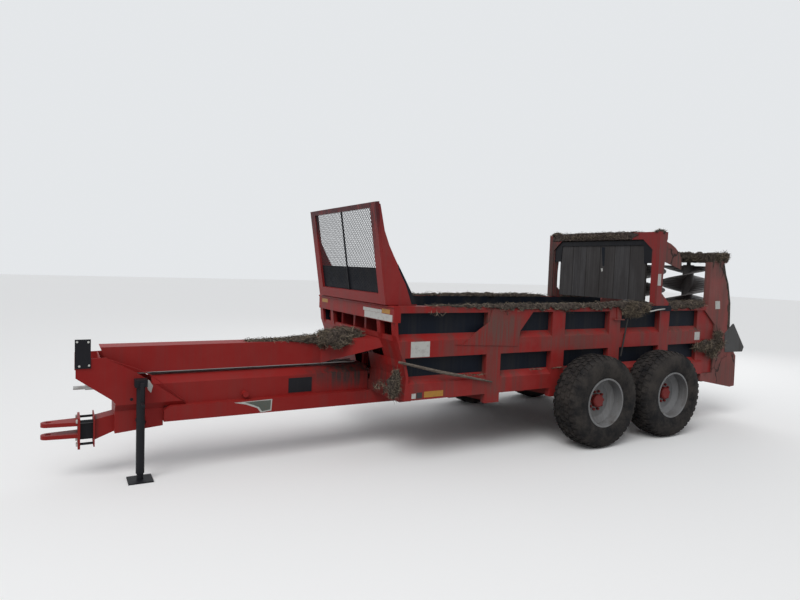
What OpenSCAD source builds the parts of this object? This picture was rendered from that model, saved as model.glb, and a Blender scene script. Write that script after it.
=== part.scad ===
// Box manure spreader with a hydraulic push gate, two vertical beaters and a walking-beam tandem.
// X runs rearward, Y to the machine's right and Z up from the ground.
// Stations along X are measured from the front plane of the load box, then shifted so that
// the origin lies on the ground under the middle of the machine.

/* [Load box] */
// Length from the front plane to the rear posts
box_l = 5030; // [4700:10:5400]
// Width over the side frames
box_w = 2040; // [1900:10:2200]
// Height of the side frames from sill to top rail
side_h = 999; // [900:1:1100]
// Height of the sill's underside above the ground
sill_z = 705; // [690:1:760]
// Depth of the side rails and posts
side_depth = 75; // [60:1:85]
// Thickness of the side panels
panel_t = 15; // [8:1:20]
// Height of the top rail
top_rail_h = 72; // [60:1:90]
// Height of the middle rail's face
mid_rail_h = 177; // [150:1:190]
// Height of the middle rail above the sill's underside
mid_rail_up = 453; // [420:1:480]
// Height of the sill's face
sill_h = 174; // [150:1:190]
// Height of the sloped top of the middle rail and the sill
rail_slope_h = 68; // [40:1:75]
// Width of a side post
post_w = 205; // [150:1:220]
// Distance from one side post to the next
post_pitch = 985; // [900:5:1000]
// Station of the first side post
post_x = 1212; // [1150:1:1260]
// How far the posts reach below the sill
post_drop = 108; // [60:1:115]
// Thickness of the floor
floor_t = 20; // [12:1:24]
// Width of the rear posts
rear_post_w = 270; // [230:1:290]

/* [Chassis] */
// Height of the two main rails
rail_h = 150; // [120:1:160]
// Width of a main rail
rail_w = 90; // [70:1:100]
// Gap between the two main rails
rail_gap = 360; // [320:2:400]
// Width of the axle tube
axle_tube = 100; // [80:1:120]
// Station of the tandem's pivot
tandem_x = 3364; // [3340:1:3400]

/* [Wheels] */
// Outer diameter of a tyre
tyre_d = 1124; // [1080:2:1160]
// Width of a tyre
tyre_w = 390; // [340:2:400]
// Distance between the centres of the left and right tyres
track = 2510; // [2490:2:2560]
// Distance between the two axles of the tandem
tandem_l = 1256; // [1230:2:1300]
// Diameter of the rim's bead seat
bead_d = 572; // [550:2:590]
// Width between the rim's flanges
rim_w = 330; // [300:2:335]
// Radius of the spindles
spindle_r = 38; // [30:1:42]
// Radius of the red hub cap
hub_cap_r = 80; // [70:1:85]

/* [Tongue] */
// Distance from the box's front plane to the hitch pin
hitch_reach = 3073; // [3040:1:3200]
// Height of the hitch pin's middle above the ground
hitch_z = 476; // [460:1:490]
// Radius of the hitch pin's hole
hitch_pin_r = 26; // [20:0.5:30]
// Width and height of the cylinder beam
beam_s = 256; // [240:1:270]
// Top of the cylinder beam above the ground
beam_z = 1256; // [1240:1:1290]
// Wall of the cylinder beam
beam_wall = 10; // [6:1:14]
// Length of the tongue's nose
nose_l = 973; // [940:1:990]

/* [Push gate] */
// Travel of the push gate
gate_travel = 3600; // [3000:10:3650]
// Height of the gate's screen above the side frames
screen_h = 1066; // [900:1:1100]
// Lean of the screen, in degrees
screen_lean = 8.7; // [6:0.1:9]
// Width of the screen's side posts
screen_post_w = 135; // [100:1:160]
// Depth of the screen's frame
screen_depth = 50; // [40:1:60]

/* [Endgate] */
// Station of the endgate's posts
endgate_x = 4045; // [4020:1:4060]
// Side of an endgate post
endgate_post = 100; // [80:1:110]
// Height of the endgate's frame above the side frames
endgate_h = 1001; // [960:1:1030]
// Thickness of the endgate's boards
board_t = 32; // [24:1:40]
// Number of boards
board_n = 6; // [4:1:8]

/* [Beaters] */
// Radius of a beater out to the tips of its flights
beater_r = 430; // [380:1:440]
// Radius of a beater's tube
beater_tube_r = 80; // [60:1:90]
// Distance between the two beaters
beater_gap = 920; // [910:1:940]
// Rise of one full turn of a flight
flight_pitch = 620; // [560:10:760]
// Thickness of a flight
flight_t = 10; // [8:1:14]

/* [Hidden] */

// Clearances
run_gap = 0.3;
gate_gap = 6;
pin_gap = 0.05;

// Widths of the load box
y_out = box_w / 2;
y_in = y_out - side_depth;
y_load = y_in - panel_t;

// Heights of the load box
top_z = sill_z + side_h;
mid_z = sill_z + mid_rail_up;
post_foot_z = sill_z - post_drop;
floor_z = sill_z + 107;
cross_z = floor_z - floor_t - 115;

// Stations of the load box
rear_x = box_l + rear_post_w;
frame_rear_x = rear_x + 120;
diagonal_x = rear_x - 125;
diagonal_z = [top_z - 287, top_z - 81];
post_n = floor((box_l - 300 - post_x) / post_pitch) + 1;
post_stations = [for (i = [0:post_n - 1]) post_x + i * post_pitch];
corner_w = 32;
floor_x = 235;
// Front edge of a side frame: [station, height]
front_edge = [
  [0, top_z], [30, top_z - 312], [126, mid_z - 33], [169, sill_z + sill_h + 64], [150, sill_z]
];

// Front crossbars
bar_t = 80;
top_bar_h = 172;
lip_r = 12;
mid_bar_z = top_z - 372;
mid_bar_h = 52;
upright_y = 640;
upright_w = 80;
wall_t = 10;

// Main rails and axle
rail_top = cross_z;
rail_z = rail_top - rail_h;
rail_y = rail_gap / 2;
rail_front = 975 - hitch_reach;
axle_z = rail_z - axle_tube / 2;
hub_z = tyre_d / 2;
tyre_y = track / 2;
beam_y0 = 870;
beam_y1 = 970;
wheel_x = [tandem_x - tandem_l / 2, tandem_x + tandem_l / 2];

// Wheel sections, along Y from the middle of the tyre
lip_y = rim_w / 2;
disc_y = lip_y - 160;
disc_t = 12;
stud_circle_r = 112.5;
stud_n = 10;
rim_wall = 9;
flange_r = bead_d / 2 + 12.5;

// Tongue
beam_x0 = 423 - hitch_reach;
beam_x1 = -430;
beam_y = beam_s / 2;
nose_x1 = rail_front + 216;
nose_x0 = nose_x1 - nose_l;
neck_x1 = nose_x0 + 329;
flange_x = 383 - hitch_reach;
shaft_z = 860;
shaft_r = 17.45;
shaft_stub = 85;
shaft_thick_r = 25;
nose_y = 240;
nose_low_y = 200;
nose_wall = 12;
arm_x = 90;
jack_y = nose_low_y + 120;
jack_r = 38;
jack_top = 900;
jack_x = nose_x0 + 541;
jack_arm_z = 553;
tunnel_y = 190;
tunnel_z1 = 888;
tunnel_roof_z = 962;
tunnel_ridge = 100;
tunnel_wall = 6;
tunnel_x0 = rail_front - 102;
tunnel_x1 = 140;

// Push gate
gate_y = y_load - 25;
gate_low = floor_z + 3;
gate_foot_x = 300;
gate_plate_t = 15;
gate_rib_x = 105;
screen_z = top_z + gate_gap;
screen_foot_x = -42;
wing_x = 340;
wing_l = 480;
wing_steps = 8;
screen_bar = 18;
screen_cols = 12;
screen_rows = 5;
sheet_top = 385;
cyl_z = beam_z - beam_s / 2;
barrel_r = 98;
stage_r = 82;
rod_r = 64;
cyl_x0 = beam_x0 + 120;
barrel_l = gate_travel / 2 + 400;

// Endgate
post_y0 = y_in;
post_y1 = y_in + endgate_post;
endgate_top = top_z + endgate_h;
board_y = 815;
board_h = 819;
endgate_beam_h = 100;
board_seam = 3;
board_z = top_z + 44;
guide_x = endgate_x + endgate_post / 2;
hood_x = endgate_x + endgate_post;
guide_y = y_load - gate_gap + run_gap;

// Beaters
beater_x = rear_x + 230;
beater_low = floor_z + 20;
beam_low = top_z + 626;
beater_high = beam_low - 40;
beater_frame_top = beam_low + 100;
beam_front = rear_x;
beam_depth = 320;
housing_x = rear_x + 650;
housing_z = 560;
beater_side_y = y_load + 3;
deck_z = floor_z;
journal_r = 30;
journal_z0 = deck_z - 60;
journal_z1 = beam_low + 58;
flight_z0 = beater_low + 12;
flight_z1 = beater_high - flight_t - 12;
flight_steps = 52;

// Rear end and the shift to the middle
flap_x1 = rear_x + 877;
clevis_x0 = -hitch_reach - 62;
x_mid = (clevis_x0 + flap_x1) / 2;

red = [0.66, 0.13, 0.11];
black = [0.07, 0.075, 0.09];
steel = [0.55, 0.55, 0.55];

// Placing and extruding
module station() translate([-x_mid, 0, 0]) children();
module mirrored() mirror([0, 1, 0]) children();
module both() {
  children();
  mirrored() children();
}
module sided(s) {
  if (s < 0) mirrored() children();
  else children();
}
module along_x(x0, x1) translate([x0, 0, 0]) rotate([90, 0, 90]) linear_extrude(x1 - x0) children();
module along_y(y0, y1) translate([0, y1, 0]) rotate([90, 0, 0]) linear_extrude(y1 - y0) children();
module along_z(z0, z1) translate([0, 0, z0]) linear_extrude(z1 - z0) children();
module block(lo, hi) translate(lo) cube(hi - lo);
module round_x(x0, x1, y, z, r) translate([x0, y, z]) rotate([0, 90, 0]) cylinder(r = r, h = x1 - x0, $fn = 48);
module round_y(y0, y1, x, z, r) translate([x, y0, z]) rotate([-90, 0, 0]) cylinder(r = r, h = y1 - y0, $fn = 48);
module round_z(z0, z1, x, y, r) translate([x, y, z0]) cylinder(r = r, h = z1 - z0, $fn = 48);

function shifted(points, d) = [for (p = points) p + d];
function reversed(points) = [for (i = [len(points) - 1:-1:0]) points[i]];
function strip(points, d) = concat(points, reversed(shifted(points, d)));

// Side frames, drawn on the right and mirrored to the left
module side_outline() polygon(concat(front_edge, [
  [frame_rear_x, sill_z], [frame_rear_x, diagonal_z[0]], [diagonal_x, diagonal_z[1]], [diagonal_x, top_z]
]));

module sloped_rail(x0, x1, z, h) {
  along_x(x0, x1)
    polygon([[y_in, z], [y_out, z], [y_out, z + h], [y_in, z + h + rail_slope_h]]);
}

module side_frame() {
  difference() {
    union() {
      intersection() {
        union() {
          block([0, y_in, top_z - top_rail_h], [diagonal_x, y_out, top_z]);
          sloped_rail(0, rear_x - 200, mid_z, mid_rail_h);
          sloped_rail(0, diagonal_x, sill_z, sill_h);
          block([box_l, y_in, sill_z], [frame_rear_x, y_out - 25, top_z]);
        }
        along_y(y_in, y_out) side_outline();
      }
      along_y(y_load, y_out) polygon(strip(front_edge, [corner_w, 0]));
      for (x = post_stations)
        block([x, y_in, post_foot_z], [x + post_w, y_out, top_z - 1]);
      gusset();
    }
    block([-1, 0, top_z - top_bar_h], [bar_t, y_out + 1, top_z + 1]);
  }
}

// Plate over the first bay's top corner, with a hollowed front edge
module gusset() {
  low = mid_z + mid_rail_h - 55;
  high = top_z - 33;
  along_y(y_out, y_out + 8)
    polygon([
      [post_x - 438, low], [post_x - 330, low], [post_x - 174, low + 126], [post_x + 16, low + 246],
      [post_x + 50, high], [post_x + 691, high], [post_x + 476, low + 133], [post_x + 442, low - 42]
    ]);
}

module side_panel() {
  outline = concat(shifted(front_edge, [corner_w, 0]), [[diagonal_x, sill_z], [diagonal_x, top_z]]);
  difference() {
    intersection() {
      along_y(y_load, y_in) polygon(outline);
      block([0, 0, floor_z - floor_t], [diagonal_x, y_out, top_z - 4]);
    }
    block([-1, 0, top_z - top_bar_h], [bar_t, y_out + 1, top_z + 1]);
  }
}

module side_frame_left() station() mirrored() color(red) side_frame();
module side_frame_right() station() color(red) side_frame();
module side_panel_left() station() mirrored() color(black) side_panel();
module side_panel_right() station() color(black) side_panel();

module floor_plate() station() color(black) block([floor_x, -y_load, floor_z - floor_t], [rear_x, y_load, floor_z]);

// Cross members on the main rails, with a tapered outrigger at each post except over the axle
module cross_members() station() color(red) {
  for (x = concat(post_stations, [for (s = post_stations) s - post_pitch / 2]))
    block([x + 52, -y_in, cross_z], [x + 152, y_in, floor_z - floor_t]);
  for (x = post_stations, s = [-1, 1])
    if (abs(x + post_w / 2 - tandem_x) > 300)
      sided(s)
        along_x(x + 96, x + 108)
          polygon([[rail_y + rail_w, rail_z + 20], [y_in, post_foot_z], [y_in, cross_z], [rail_y + rail_w, cross_z]]);
}

module main_rails() station() color(red) both()
  along_y(rail_y, rail_y + rail_w)
    polygon([
      [rail_front, rail_z], [rail_front, rail_top - 37], [rail_front + 58, rail_top], [rear_x, rail_top],
      [rear_x, rail_z]
    ]);

// Front frame: crossbars, uprights along the raked front, and the corner plates
module front_frame() station() color(red) {
  block([0, -y_out, top_z - top_bar_h], [bar_t, y_out, top_z]);
  round_y(-y_out, y_out, lip_r - 10, top_z - lip_r, lip_r);
  block([50, -y_load, mid_bar_z], [95, y_load, mid_bar_z + mid_bar_h]);
  both() {
    intersection() {
      along_y(upright_y - upright_w / 2, upright_y + upright_w / 2) polygon(strip(front_edge, [52, 0]));
      block([0, 0, cross_z], [400, y_out, top_z - top_bar_h]);
    }
    intersection() {
      along_y(upright_y, y_load) polygon(strip(front_edge, [wall_t, 0]));
      block([0, 0, cross_z], [400, y_out, mid_bar_z]);
    }
    intersection() {
      along_y(tunnel_y + wall_t, upright_y) polygon(strip(front_edge, [wall_t, 0]));
      block([0, 0, cross_z], [400, y_out, mid_z - 33]);
    }
    along_y(upright_y, y_load)
      polygon([[140, mid_z - 116], [126, mid_z - 33], [170, mid_z - 13], [170, mid_z - 116]]);
  }
  block([150, -y_load, cross_z], [290, y_load, floor_z - floor_t]);
}

// Tongue
module nose_section(inset) {
  y0 = nose_low_y - inset;
  y1 = nose_y - inset;
  z0 = 440 + inset;
  z1 = 1180 + inset;
  polygon([[-y0, z0], [y0, z0], [y0, 652], [y1, 717], [y1, z1], [-y1, z1], [-y1, 717], [-y0, 652]]);
}

// Side outline of the nose: [station, height]
module nose_outline() polygon([
  [nose_x0, 1167], [nose_x0, 993], [nose_x0 + 305, 767], [neck_x1, 735], [neck_x1, 440],
  [rail_front, 477], [rail_front, rail_top], [nose_x1, rail_top], [nose_x1, rail_top + 3],
  [nose_x0 + 514, 1017], [nose_x0 + 248, 1174]
]);

// Open shell of two folded side plates, with a front plate, a seat under the beam and a bearing wall
module tongue_nose() station() color(red) {
  difference() {
    intersection() {
      along_x(nose_x0, nose_x1) nose_section(0);
      along_y(-nose_y, nose_y) nose_outline();
    }
    along_x(nose_x0 - 1, nose_x1 + 1) nose_section(nose_wall);
  }
  difference() {
    intersection() {
      along_y(-nose_y, nose_y) nose_outline();
      along_x(nose_x0, nose_x1) nose_section(nose_wall - 1);
      union() {
        block([neck_x1 - 20, -nose_y, 430], [neck_x1 + nose_wall, nose_y, 735]);
        block([beam_x0 - nose_wall, -nose_y, 700], [beam_x0, nose_y, 1168]);
        block([beam_x0 - 1, -nose_y, beam_z - beam_s - nose_wall], [nose_x0 + 495, nose_y, beam_z - beam_s]);
      }
    }
    round_x(beam_x0 - 60, beam_x0 + 1, 0, shaft_z, shaft_thick_r + pin_gap);
  }
}

module hitch_neck() station() color(red) {
  along_y(-100, 100) polygon([[flange_x - 6, hitch_z - 104], [neck_x1, 440], [neck_x1, 602], [flange_x - 6, hitch_z + 90]]);
  block([flange_x - 12, -130, hitch_z - 162], [flange_x, 130, hitch_z + 130]);
}

module hitch_clevis() station() color(red) difference() {
  union() {
    block([flange_x - 142, -130, hitch_z - 174], [flange_x - 122, 130, hitch_z + 120]);
    for (z = [hitch_z - 57, hitch_z + 57]) {
      along_z(z - 18, z + 18)
        polygon([[flange_x - 130, -95], [flange_x - 130, 95], [-hitch_reach, 62], [-hitch_reach, -62]]);
      round_z(z - 18, z + 18, -hitch_reach, 0, 62);
    }
  }
  round_z(hitch_z - 90, hitch_z + 90, -hitch_reach, 0, hitch_pin_r);
}

// Block between the two hitch flanges, with the four long bolts
module hitch_spacer() station() color(black) {
  block([flange_x - 122, -70, hitch_z - 96], [flange_x - 12, 70, hitch_z + 54]);
  for (y = [-100, 100], z = [hitch_z - 131, hitch_z + 84])
    round_x(flange_x - 122, flange_x - 12, y, z, 12);
}

module hose_bracket() station() color(black) mirrored()
  block([nose_x0 - 7, nose_y, 1082], [nose_x0 + 123, nose_y + 10, 1350]);

module cylinder_beam() station() color(red) difference() {
  low = beam_z - beam_s;
  along_y(-beam_y, beam_y) polygon([[beam_x0, beam_z], [beam_x0 + 100, low], [beam_x1, low], [beam_x1, beam_z]]);
  block([cyl_x0, -beam_y + beam_wall, low + beam_wall], [beam_x1 + 1, beam_y - beam_wall, beam_z - beam_wall]);
}

// Arms that flare from the beam to the front uprights, with the deck plate between them
module tongue_arms() station() color(red) intersection() {
  union() {
    intersection() {
      for (s = [-1, 1])
        sided(s)
          along_z(sill_z, top_z)
            polygon([[beam_x1, beam_y], [arm_x, upright_y], [arm_x, upright_y - 22], [beam_x1, beam_y - 20]]);
      along_y(-y_out, y_out)
        polygon([[beam_x1, beam_z - beam_s], [beam_x1, beam_z], [arm_x, mid_bar_z], [arm_x, mid_bar_z - 100]]);
    }
    intersection() {
      along_z(sill_z, top_z)
        polygon([[beam_x1, 2 - beam_y], [beam_x1, beam_y - 2], [arm_x, upright_y - 4], [arm_x, 4 - upright_y]]);
      along_y(-y_out, y_out) polygon(strip([[beam_x1, beam_z - 12], [arm_x, mid_bar_z - 12]], [0, 12]));
    }
  }
  along_y(-y_out, y_out) polygon(concat([[beam_x0, top_z]], front_edge, [[beam_x0, sill_z]]));
}

// Folded tunnel over the driveline, with a stub on the left that carries the jack on the road
module tunnel_section(inset, low) polygon([
  [inset - tunnel_y, low], [tunnel_y - inset, low], [tunnel_y - inset, tunnel_z1 - inset * 0.7],
  [tunnel_ridge - inset * 0.4, tunnel_roof_z - inset], [inset * 0.4 - tunnel_ridge, tunnel_roof_z - inset],
  [inset - tunnel_y, tunnel_z1 - inset * 0.7]
]);
module driveline_tunnel() station() color(red) {
  difference() {
    along_x(tunnel_x0, tunnel_x1) tunnel_section(0, rail_top);
    along_x(tunnel_x0 - 1, tunnel_x1 + 1) tunnel_section(tunnel_wall, rail_top - 1);
  }
  mirrored() round_y(tunnel_y - 1, tunnel_y + 70, -1300, rail_top + 56, 30);
}

module tunnel_cover() station() color(black) mirrored()
  block([-820, tunnel_y, 701], [-553, tunnel_y + 5, 860]);

module hydraulic_lines() station() color(steel)
  for (y = [-60, 60]) round_x(rail_front - 242, 20, y, beam_z - beam_s - 12 - run_gap, 12);

module input_shaft() station() color(steel) {
  round_x(nose_x0 - 15, nose_x0 + 1 + shaft_stub, 0, shaft_z, shaft_r);
  round_x(nose_x0 + shaft_stub, rail_front + 98, 0, shaft_z, shaft_thick_r);
}

// Stands on its foot, with a gear head and a crank at the top
module parking_jack() station() color(black) translate([jack_x, -jack_y, 0]) {
  round_y(30, jack_y - nose_low_y, 0, jack_arm_z, 34);
  round_z(70, jack_top, 0, 0, jack_r);
  round_z(0, 70, 0, 0, jack_r - 8);
  block([-110, -110, 0], [110, 110, 12]);
  block([-55, -50, jack_top], [55, 50, jack_top + 70]);
  round_y(-110, -50, 0, jack_top + 35, 12);
  block([-15, -118, jack_top - 150], [15, -104, jack_top + 50]);
  round_y(-230, -118, 0, jack_top - 135, 13);
}

// Hose from the top rail down over the middle rail: [station, height] of its ends
hose_top = [3510, 1529];
hose_end = [3416, 1042];
hose_r = 10;
module side_hose() station() color(black) mirrored()
  translate([hose_end[0], y_out + hose_r + run_gap, hose_end[1]])
    rotate([0, atan2(hose_top[0] - hose_end[0], hose_top[1] - hose_end[1]), 0])
      cylinder(r = hose_r, h = norm(hose_top - hose_end), $fn = 24);

// Tandem
module axle_tube_body() station() color(red) {
  block([tandem_x - axle_tube / 2, -beam_y0, rail_z - axle_tube], [tandem_x + axle_tube / 2, beam_y0, rail_z]);
}

module walking_beams() station() color(red) both() {
  for (x = wheel_x)
    hull() {
      round_y(beam_y0, beam_y1, x, hub_z, 75);
      round_y(beam_y0, beam_y1, tandem_x, axle_z, 90);
    }
  for (x = wheel_x) round_y(beam_y1, tyre_y + disc_y - 20, x, hub_z, spindle_r);
}

// Wheels, drawn with the outside towards +Y and the tyre's middle at Y = 0
module turn_y(points) rotate([-90, 0, 0]) rotate_extrude($fn = 96) polygon(points);

module tyre() color("dimgray") turn_y([
  [bead_d / 2 + run_gap, -rim_w / 2 + 8], [bead_d / 2 + 60, -tyre_w / 2 + 10], [bead_d / 2 + 130, -tyre_w / 2],
  [tyre_d / 2 - 70, -tyre_w / 2 + 12], [tyre_d / 2 - 20, 40 - tyre_w / 2], [tyre_d / 2, 75 - tyre_w / 2],
  [tyre_d / 2, tyre_w / 2 - 75], [tyre_d / 2 - 20, tyre_w / 2 - 40], [tyre_d / 2 - 70, tyre_w / 2 - 12],
  [bead_d / 2 + 130, tyre_w / 2], [bead_d / 2 + 60, tyre_w / 2 - 10], [bead_d / 2 + run_gap, rim_w / 2 - 8]
]);

module rim() color("lightgray") difference() {
  barrel_r1 = bead_d / 2 - rim_wall;
  disc_y0 = disc_y - disc_t;
  turn_y([
    [flange_r, -lip_y - 6], [flange_r, -lip_y], [bead_d / 2, -lip_y], [bead_d / 2, lip_y], [flange_r, lip_y],
    [flange_r, lip_y + 6], [barrel_r1, lip_y + 6], [barrel_r1, disc_y + 40], [205, disc_y], [hub_cap_r + 2, disc_y],
    [hub_cap_r + 2, disc_y0], [210, disc_y0], [barrel_r1, disc_y + 24], [barrel_r1, -lip_y - 6]
  ]);
  for (i = [0:stud_n - 1])
    rotate([0, i * 360 / stud_n, 0]) round_y(disc_y - disc_t - 1, disc_y + 1, stud_circle_r, 0, 12);
}

module hub() color("firebrick") difference() {
  union() {
    turn_y([
      [0, -100], [62, -100], [62, disc_y - disc_t - 34], [140, disc_y - disc_t - 14], [140, disc_y - disc_t],
      [hub_cap_r, disc_y - disc_t], [hub_cap_r, disc_y + 48], [hub_cap_r - 16, disc_y + 62], [0, disc_y + 62]
    ]);
    for (i = [0:stud_n - 1])
      rotate([0, i * 360 / stud_n, 0]) {
        round_y(disc_y - disc_t - 1, disc_y + 28, stud_circle_r, 0, 10);
        translate([stud_circle_r, disc_y + run_gap, 0]) rotate([-90, 0, 0]) cylinder(r = 17, h = 20, $fn = 6);
      }
  }
  round_y(-101, disc_y - 20 + 6, 0, 0, spindle_r + pin_gap);
}

module wheel_at(i, s) station() translate([wheel_x[i], s * tyre_y, hub_z]) sided(s) children();

module tyre_front_left() wheel_at(0, -1) tyre();
module tyre_rear_left() wheel_at(1, -1) tyre();
module tyre_front_right() wheel_at(0, 1) tyre();
module tyre_rear_right() wheel_at(1, 1) tyre();
module rim_front_left() wheel_at(0, -1) rim();
module rim_rear_left() wheel_at(1, -1) rim();
module rim_front_right() wheel_at(0, 1) rim();
module rim_rear_right() wheel_at(1, 1) rim();
module hub_front_left() wheel_at(0, -1) hub();
module hub_rear_left() wheel_at(1, -1) hub();
module hub_front_right() wheel_at(0, 1) hub();
module hub_rear_right() wheel_at(1, 1) hub();

// Push gate
// Rear edge of a wing, from its foot at t = 0 to its tip at t = 1
function wing_point(t) = [wing_x - wing_l * t, screen_z + (screen_h - 30) * (0.78 * t + 0.22 * pow(t, 10))];
module leaning() translate([screen_foot_x, 0, screen_z]) rotate([0, -screen_lean, 0]) children();

module push_gate_frame() station() color(red) {
  ribs = [150, 500, 850];
  both() {
    for (y = ribs)
      along_y(y - 25, y + 25) polygon([
        [gate_foot_x, gate_low + 5], [floor_x, gate_low + 5], [floor_x, mid_z - 108],
        [gate_rib_x + 55, mid_bar_z - 132], [gate_rib_x, mid_bar_z - 2], [gate_rib_x, top_z - 12],
        [gate_foot_x, top_z - 12]
      ]);
    // Wing beside the screen, with a hollowed rear edge
    along_y(gate_y - 10, gate_y) polygon(concat(
      [[gate_rib_x, mid_bar_z + 80], [gate_rib_x, screen_z], [screen_foot_x + 20, screen_z]],
      [[-165, screen_z + screen_h - 30]],
      [for (k = [wing_steps:-1:0]) wing_point(k / wing_steps)],
      [[wing_x, mid_bar_z + 80]]
    ));
  }
  block([floor_x, -gate_y, gate_low + 5], [gate_foot_x, gate_y, gate_low + 65]);
  block([gate_rib_x + 60, -gate_y, top_z - 110], [gate_foot_x, gate_y, top_z - 12]);
  block([screen_foot_x + 8, 5 - gate_y, screen_z], [gate_foot_x, gate_y - 5, screen_z + 14]);
  leaning() {
    both() block([0, gate_y - screen_post_w, 0], [screen_depth, gate_y - 2, screen_h]);
    block([0, 2 - gate_y, screen_h - 55], [screen_depth, gate_y - 2, screen_h]);
    block([0, 2 - gate_y, 0], [screen_depth, gate_y - 2, 110]);
  }
}

module push_gate_panel() station() color(black)
  block([gate_foot_x, 10 - gate_y, gate_low], [gate_foot_x + gate_plate_t, gate_y - 10, screen_z]);

// A closed sheet below, open squares above and a bar up the middle
module push_gate_screen() station() color(black) leaning() {
  half = gate_y - screen_post_w;
  z0 = sheet_top + screen_bar;
  pitch_y = (2 * half - screen_bar) / screen_cols;
  pitch_z = (screen_h - 55 - z0) / screen_rows;
  difference() {
    block([31, -half, 110], [35, half, screen_h - 55]);
    for (i = [0:screen_cols - 1], k = [0:screen_rows - 1])
      translate([30, screen_bar - half + i * pitch_y, z0 + k * pitch_z])
        cube([6, pitch_y - screen_bar, pitch_z - screen_bar]);
  }
  block([12, -9, 110], [32, 9, screen_h - 55]);
}

module cylinder_barrel() station() color(black) difference() {
  round_x(cyl_x0, cyl_x0 + barrel_l, 0, cyl_z, barrel_r);
  round_x(cyl_x0 + 40, cyl_x0 + barrel_l + 1, 0, cyl_z, stage_r + run_gap);
}
module cylinder_stage() station() color(steel) difference() {
  round_x(cyl_x0 + 60, cyl_x0 + barrel_l + 40, 0, cyl_z, stage_r);
  round_x(cyl_x0 + 80, cyl_x0 + barrel_l + 41, 0, cyl_z, rod_r + run_gap);
}
module cylinder_rod() station() color(steel) round_x(cyl_x0 + 100, gate_foot_x, 0, cyl_z, rod_r);

// Endgate
// Posts that widen to the top, with a flared foot and a gusset under the beam
module endgate_frame() station() color(red) {
  low = endgate_top - endgate_beam_h;
  both() {
    along_y(post_y0, post_y1) polygon([
      [endgate_x, top_z], [endgate_x, endgate_top], [hood_x + 60, endgate_top], [hood_x + 10, top_z + 400],
      [hood_x, top_z + 170], [hood_x + 165, top_z + 30], [hood_x + 150, top_z]
    ]);
    block([guide_x - 40, guide_y, top_z + 10], [guide_x + 40, post_y0, low]);
    along_x(endgate_x, endgate_x + 12) polygon([[post_y0, low - 150], [post_y0, low], [post_y0 - 170, low]]);
  }
  block([endgate_x, -post_y1, low], [hood_x + 60, post_y1, endgate_top]);
}
module endgate_boards() station() color([0.3, 0.3, 0.3]) {
  pitch = 2 * board_y / board_n;
  for (i = [0:board_n - 1])
    block([guide_x - board_t / 2, -board_y + i * pitch + board_seam / 2, board_z],
      [guide_x + board_t / 2, -board_y + (i + 1) * pitch - board_seam / 2, board_z + board_h]);
}
module endgate_head() station() color(black) {
  y1 = guide_y - run_gap;
  z1 = board_z + board_h;
  along_x(guide_x - board_t / 2 - 14, guide_x - board_t / 2)
    polygon([
      [-y1, z1 + 24], [-y1, z1 - 290], [-board_y + 20, z1 - 290], [-board_y + 40, z1 - 40],
      [board_y - 40, z1 - 40], [board_y - 20, z1 - 290], [y1, z1 - 290], [y1, z1 + 24]
    ]);
}
// Wings behind the endgate's posts: [distance behind the post, height above the side frames]
module hood_plates() station() color(red) both()
  along_y(y_in - 8, y_in) polygon([for (p = [
    [-8, 645], [-8, 899], [150, 889], [273, 854], [374, 803], [475, 726], [519, 668], [536, 499]
  ]) [hood_x + p[0], top_z + p[1]]]);

// Beaters
// Side plate with a post above the diagonal and a housing below.
// Its rear edge is [distance behind the floor, height above the side frames].
module beater_sides() station() color(red) both()
  along_y(beater_side_y, y_out) polygon(concat(
    [[diagonal_x - 20, housing_z + 40], [diagonal_x - 20, sill_z], [frame_rear_x, sill_z]],
    [[frame_rear_x, diagonal_z[0]], [diagonal_x, diagonal_z[1]], [rear_x - 65, top_z]],
    [[rear_x - 65, beam_low], [rear_x + 260, beam_low]],
    [for (p = [
      [320, 456], [390, 326], [470, 36], [490, -274], [490, -554], [600, -674], [690, -774], [700, -1234],
      [590, -1244]
    ]) [rear_x + p[0], top_z + p[1]]]
  ));

module beater_top_beam() station() color(red) difference() {
  block([beam_front, -y_out, beam_low], [beam_front + beam_depth, y_out, beater_frame_top]);
  for (s = [-1, 1]) round_z(beam_low - 1, journal_z1, beater_x, s * beater_gap / 2, journal_r + pin_gap);
}

// A helical flight is swept ring by ring; each ring has four corners, inner and outer, low and high
function flight_point(i, r, up) =
  let (z = flight_z0 + (flight_z1 - flight_z0) * i / flight_steps, a = 360 * (z - flight_z0) / flight_pitch)
  [r * cos(a), r * sin(a), z + up];
module flight() {
  ring = [[beater_tube_r - 6, 0], [beater_r, 0], [beater_r, flight_t], [beater_tube_r - 6, flight_t]];
  points = [for (i = [0:flight_steps], c = ring) flight_point(i, c[0], c[1])];
  sides = [for (i = [0:flight_steps - 1], k = [0:3], t = [0, 1])
    let (a = 4 * i + k, b = 4 * i + (k + 1) % 4)
    t == 0 ? [a, b, b + 4] : [a, b + 4, a + 4]];
  last = 4 * flight_steps;
  polyhedron(points, concat(sides, [[3, 2, 1, 0], [last, last + 1, last + 2, last + 3]]));
}
module beater() {
  round_z(beater_low, beater_high, 0, 0, beater_tube_r);
  round_z(journal_z0 + 8, journal_z1 - 8, 0, 0, journal_r);
  for (a = [0, 180]) rotate([0, 0, a]) flight();
}
module beater_left() station() translate([beater_x, -beater_gap / 2, 0]) color("brown") beater();
module beater_right() station() translate([beater_x, beater_gap / 2, 0]) mirror([0, 1, 0]) color("brown") beater();
module beater_gearbox() station() color(red) difference() {
  block([rear_x, -beater_side_y, housing_z], [housing_x, beater_side_y, deck_z]);
  for (s = [-1, 1]) round_z(journal_z0, deck_z + 1, beater_x, s * beater_gap / 2, journal_r + pin_gap);
}
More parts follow.
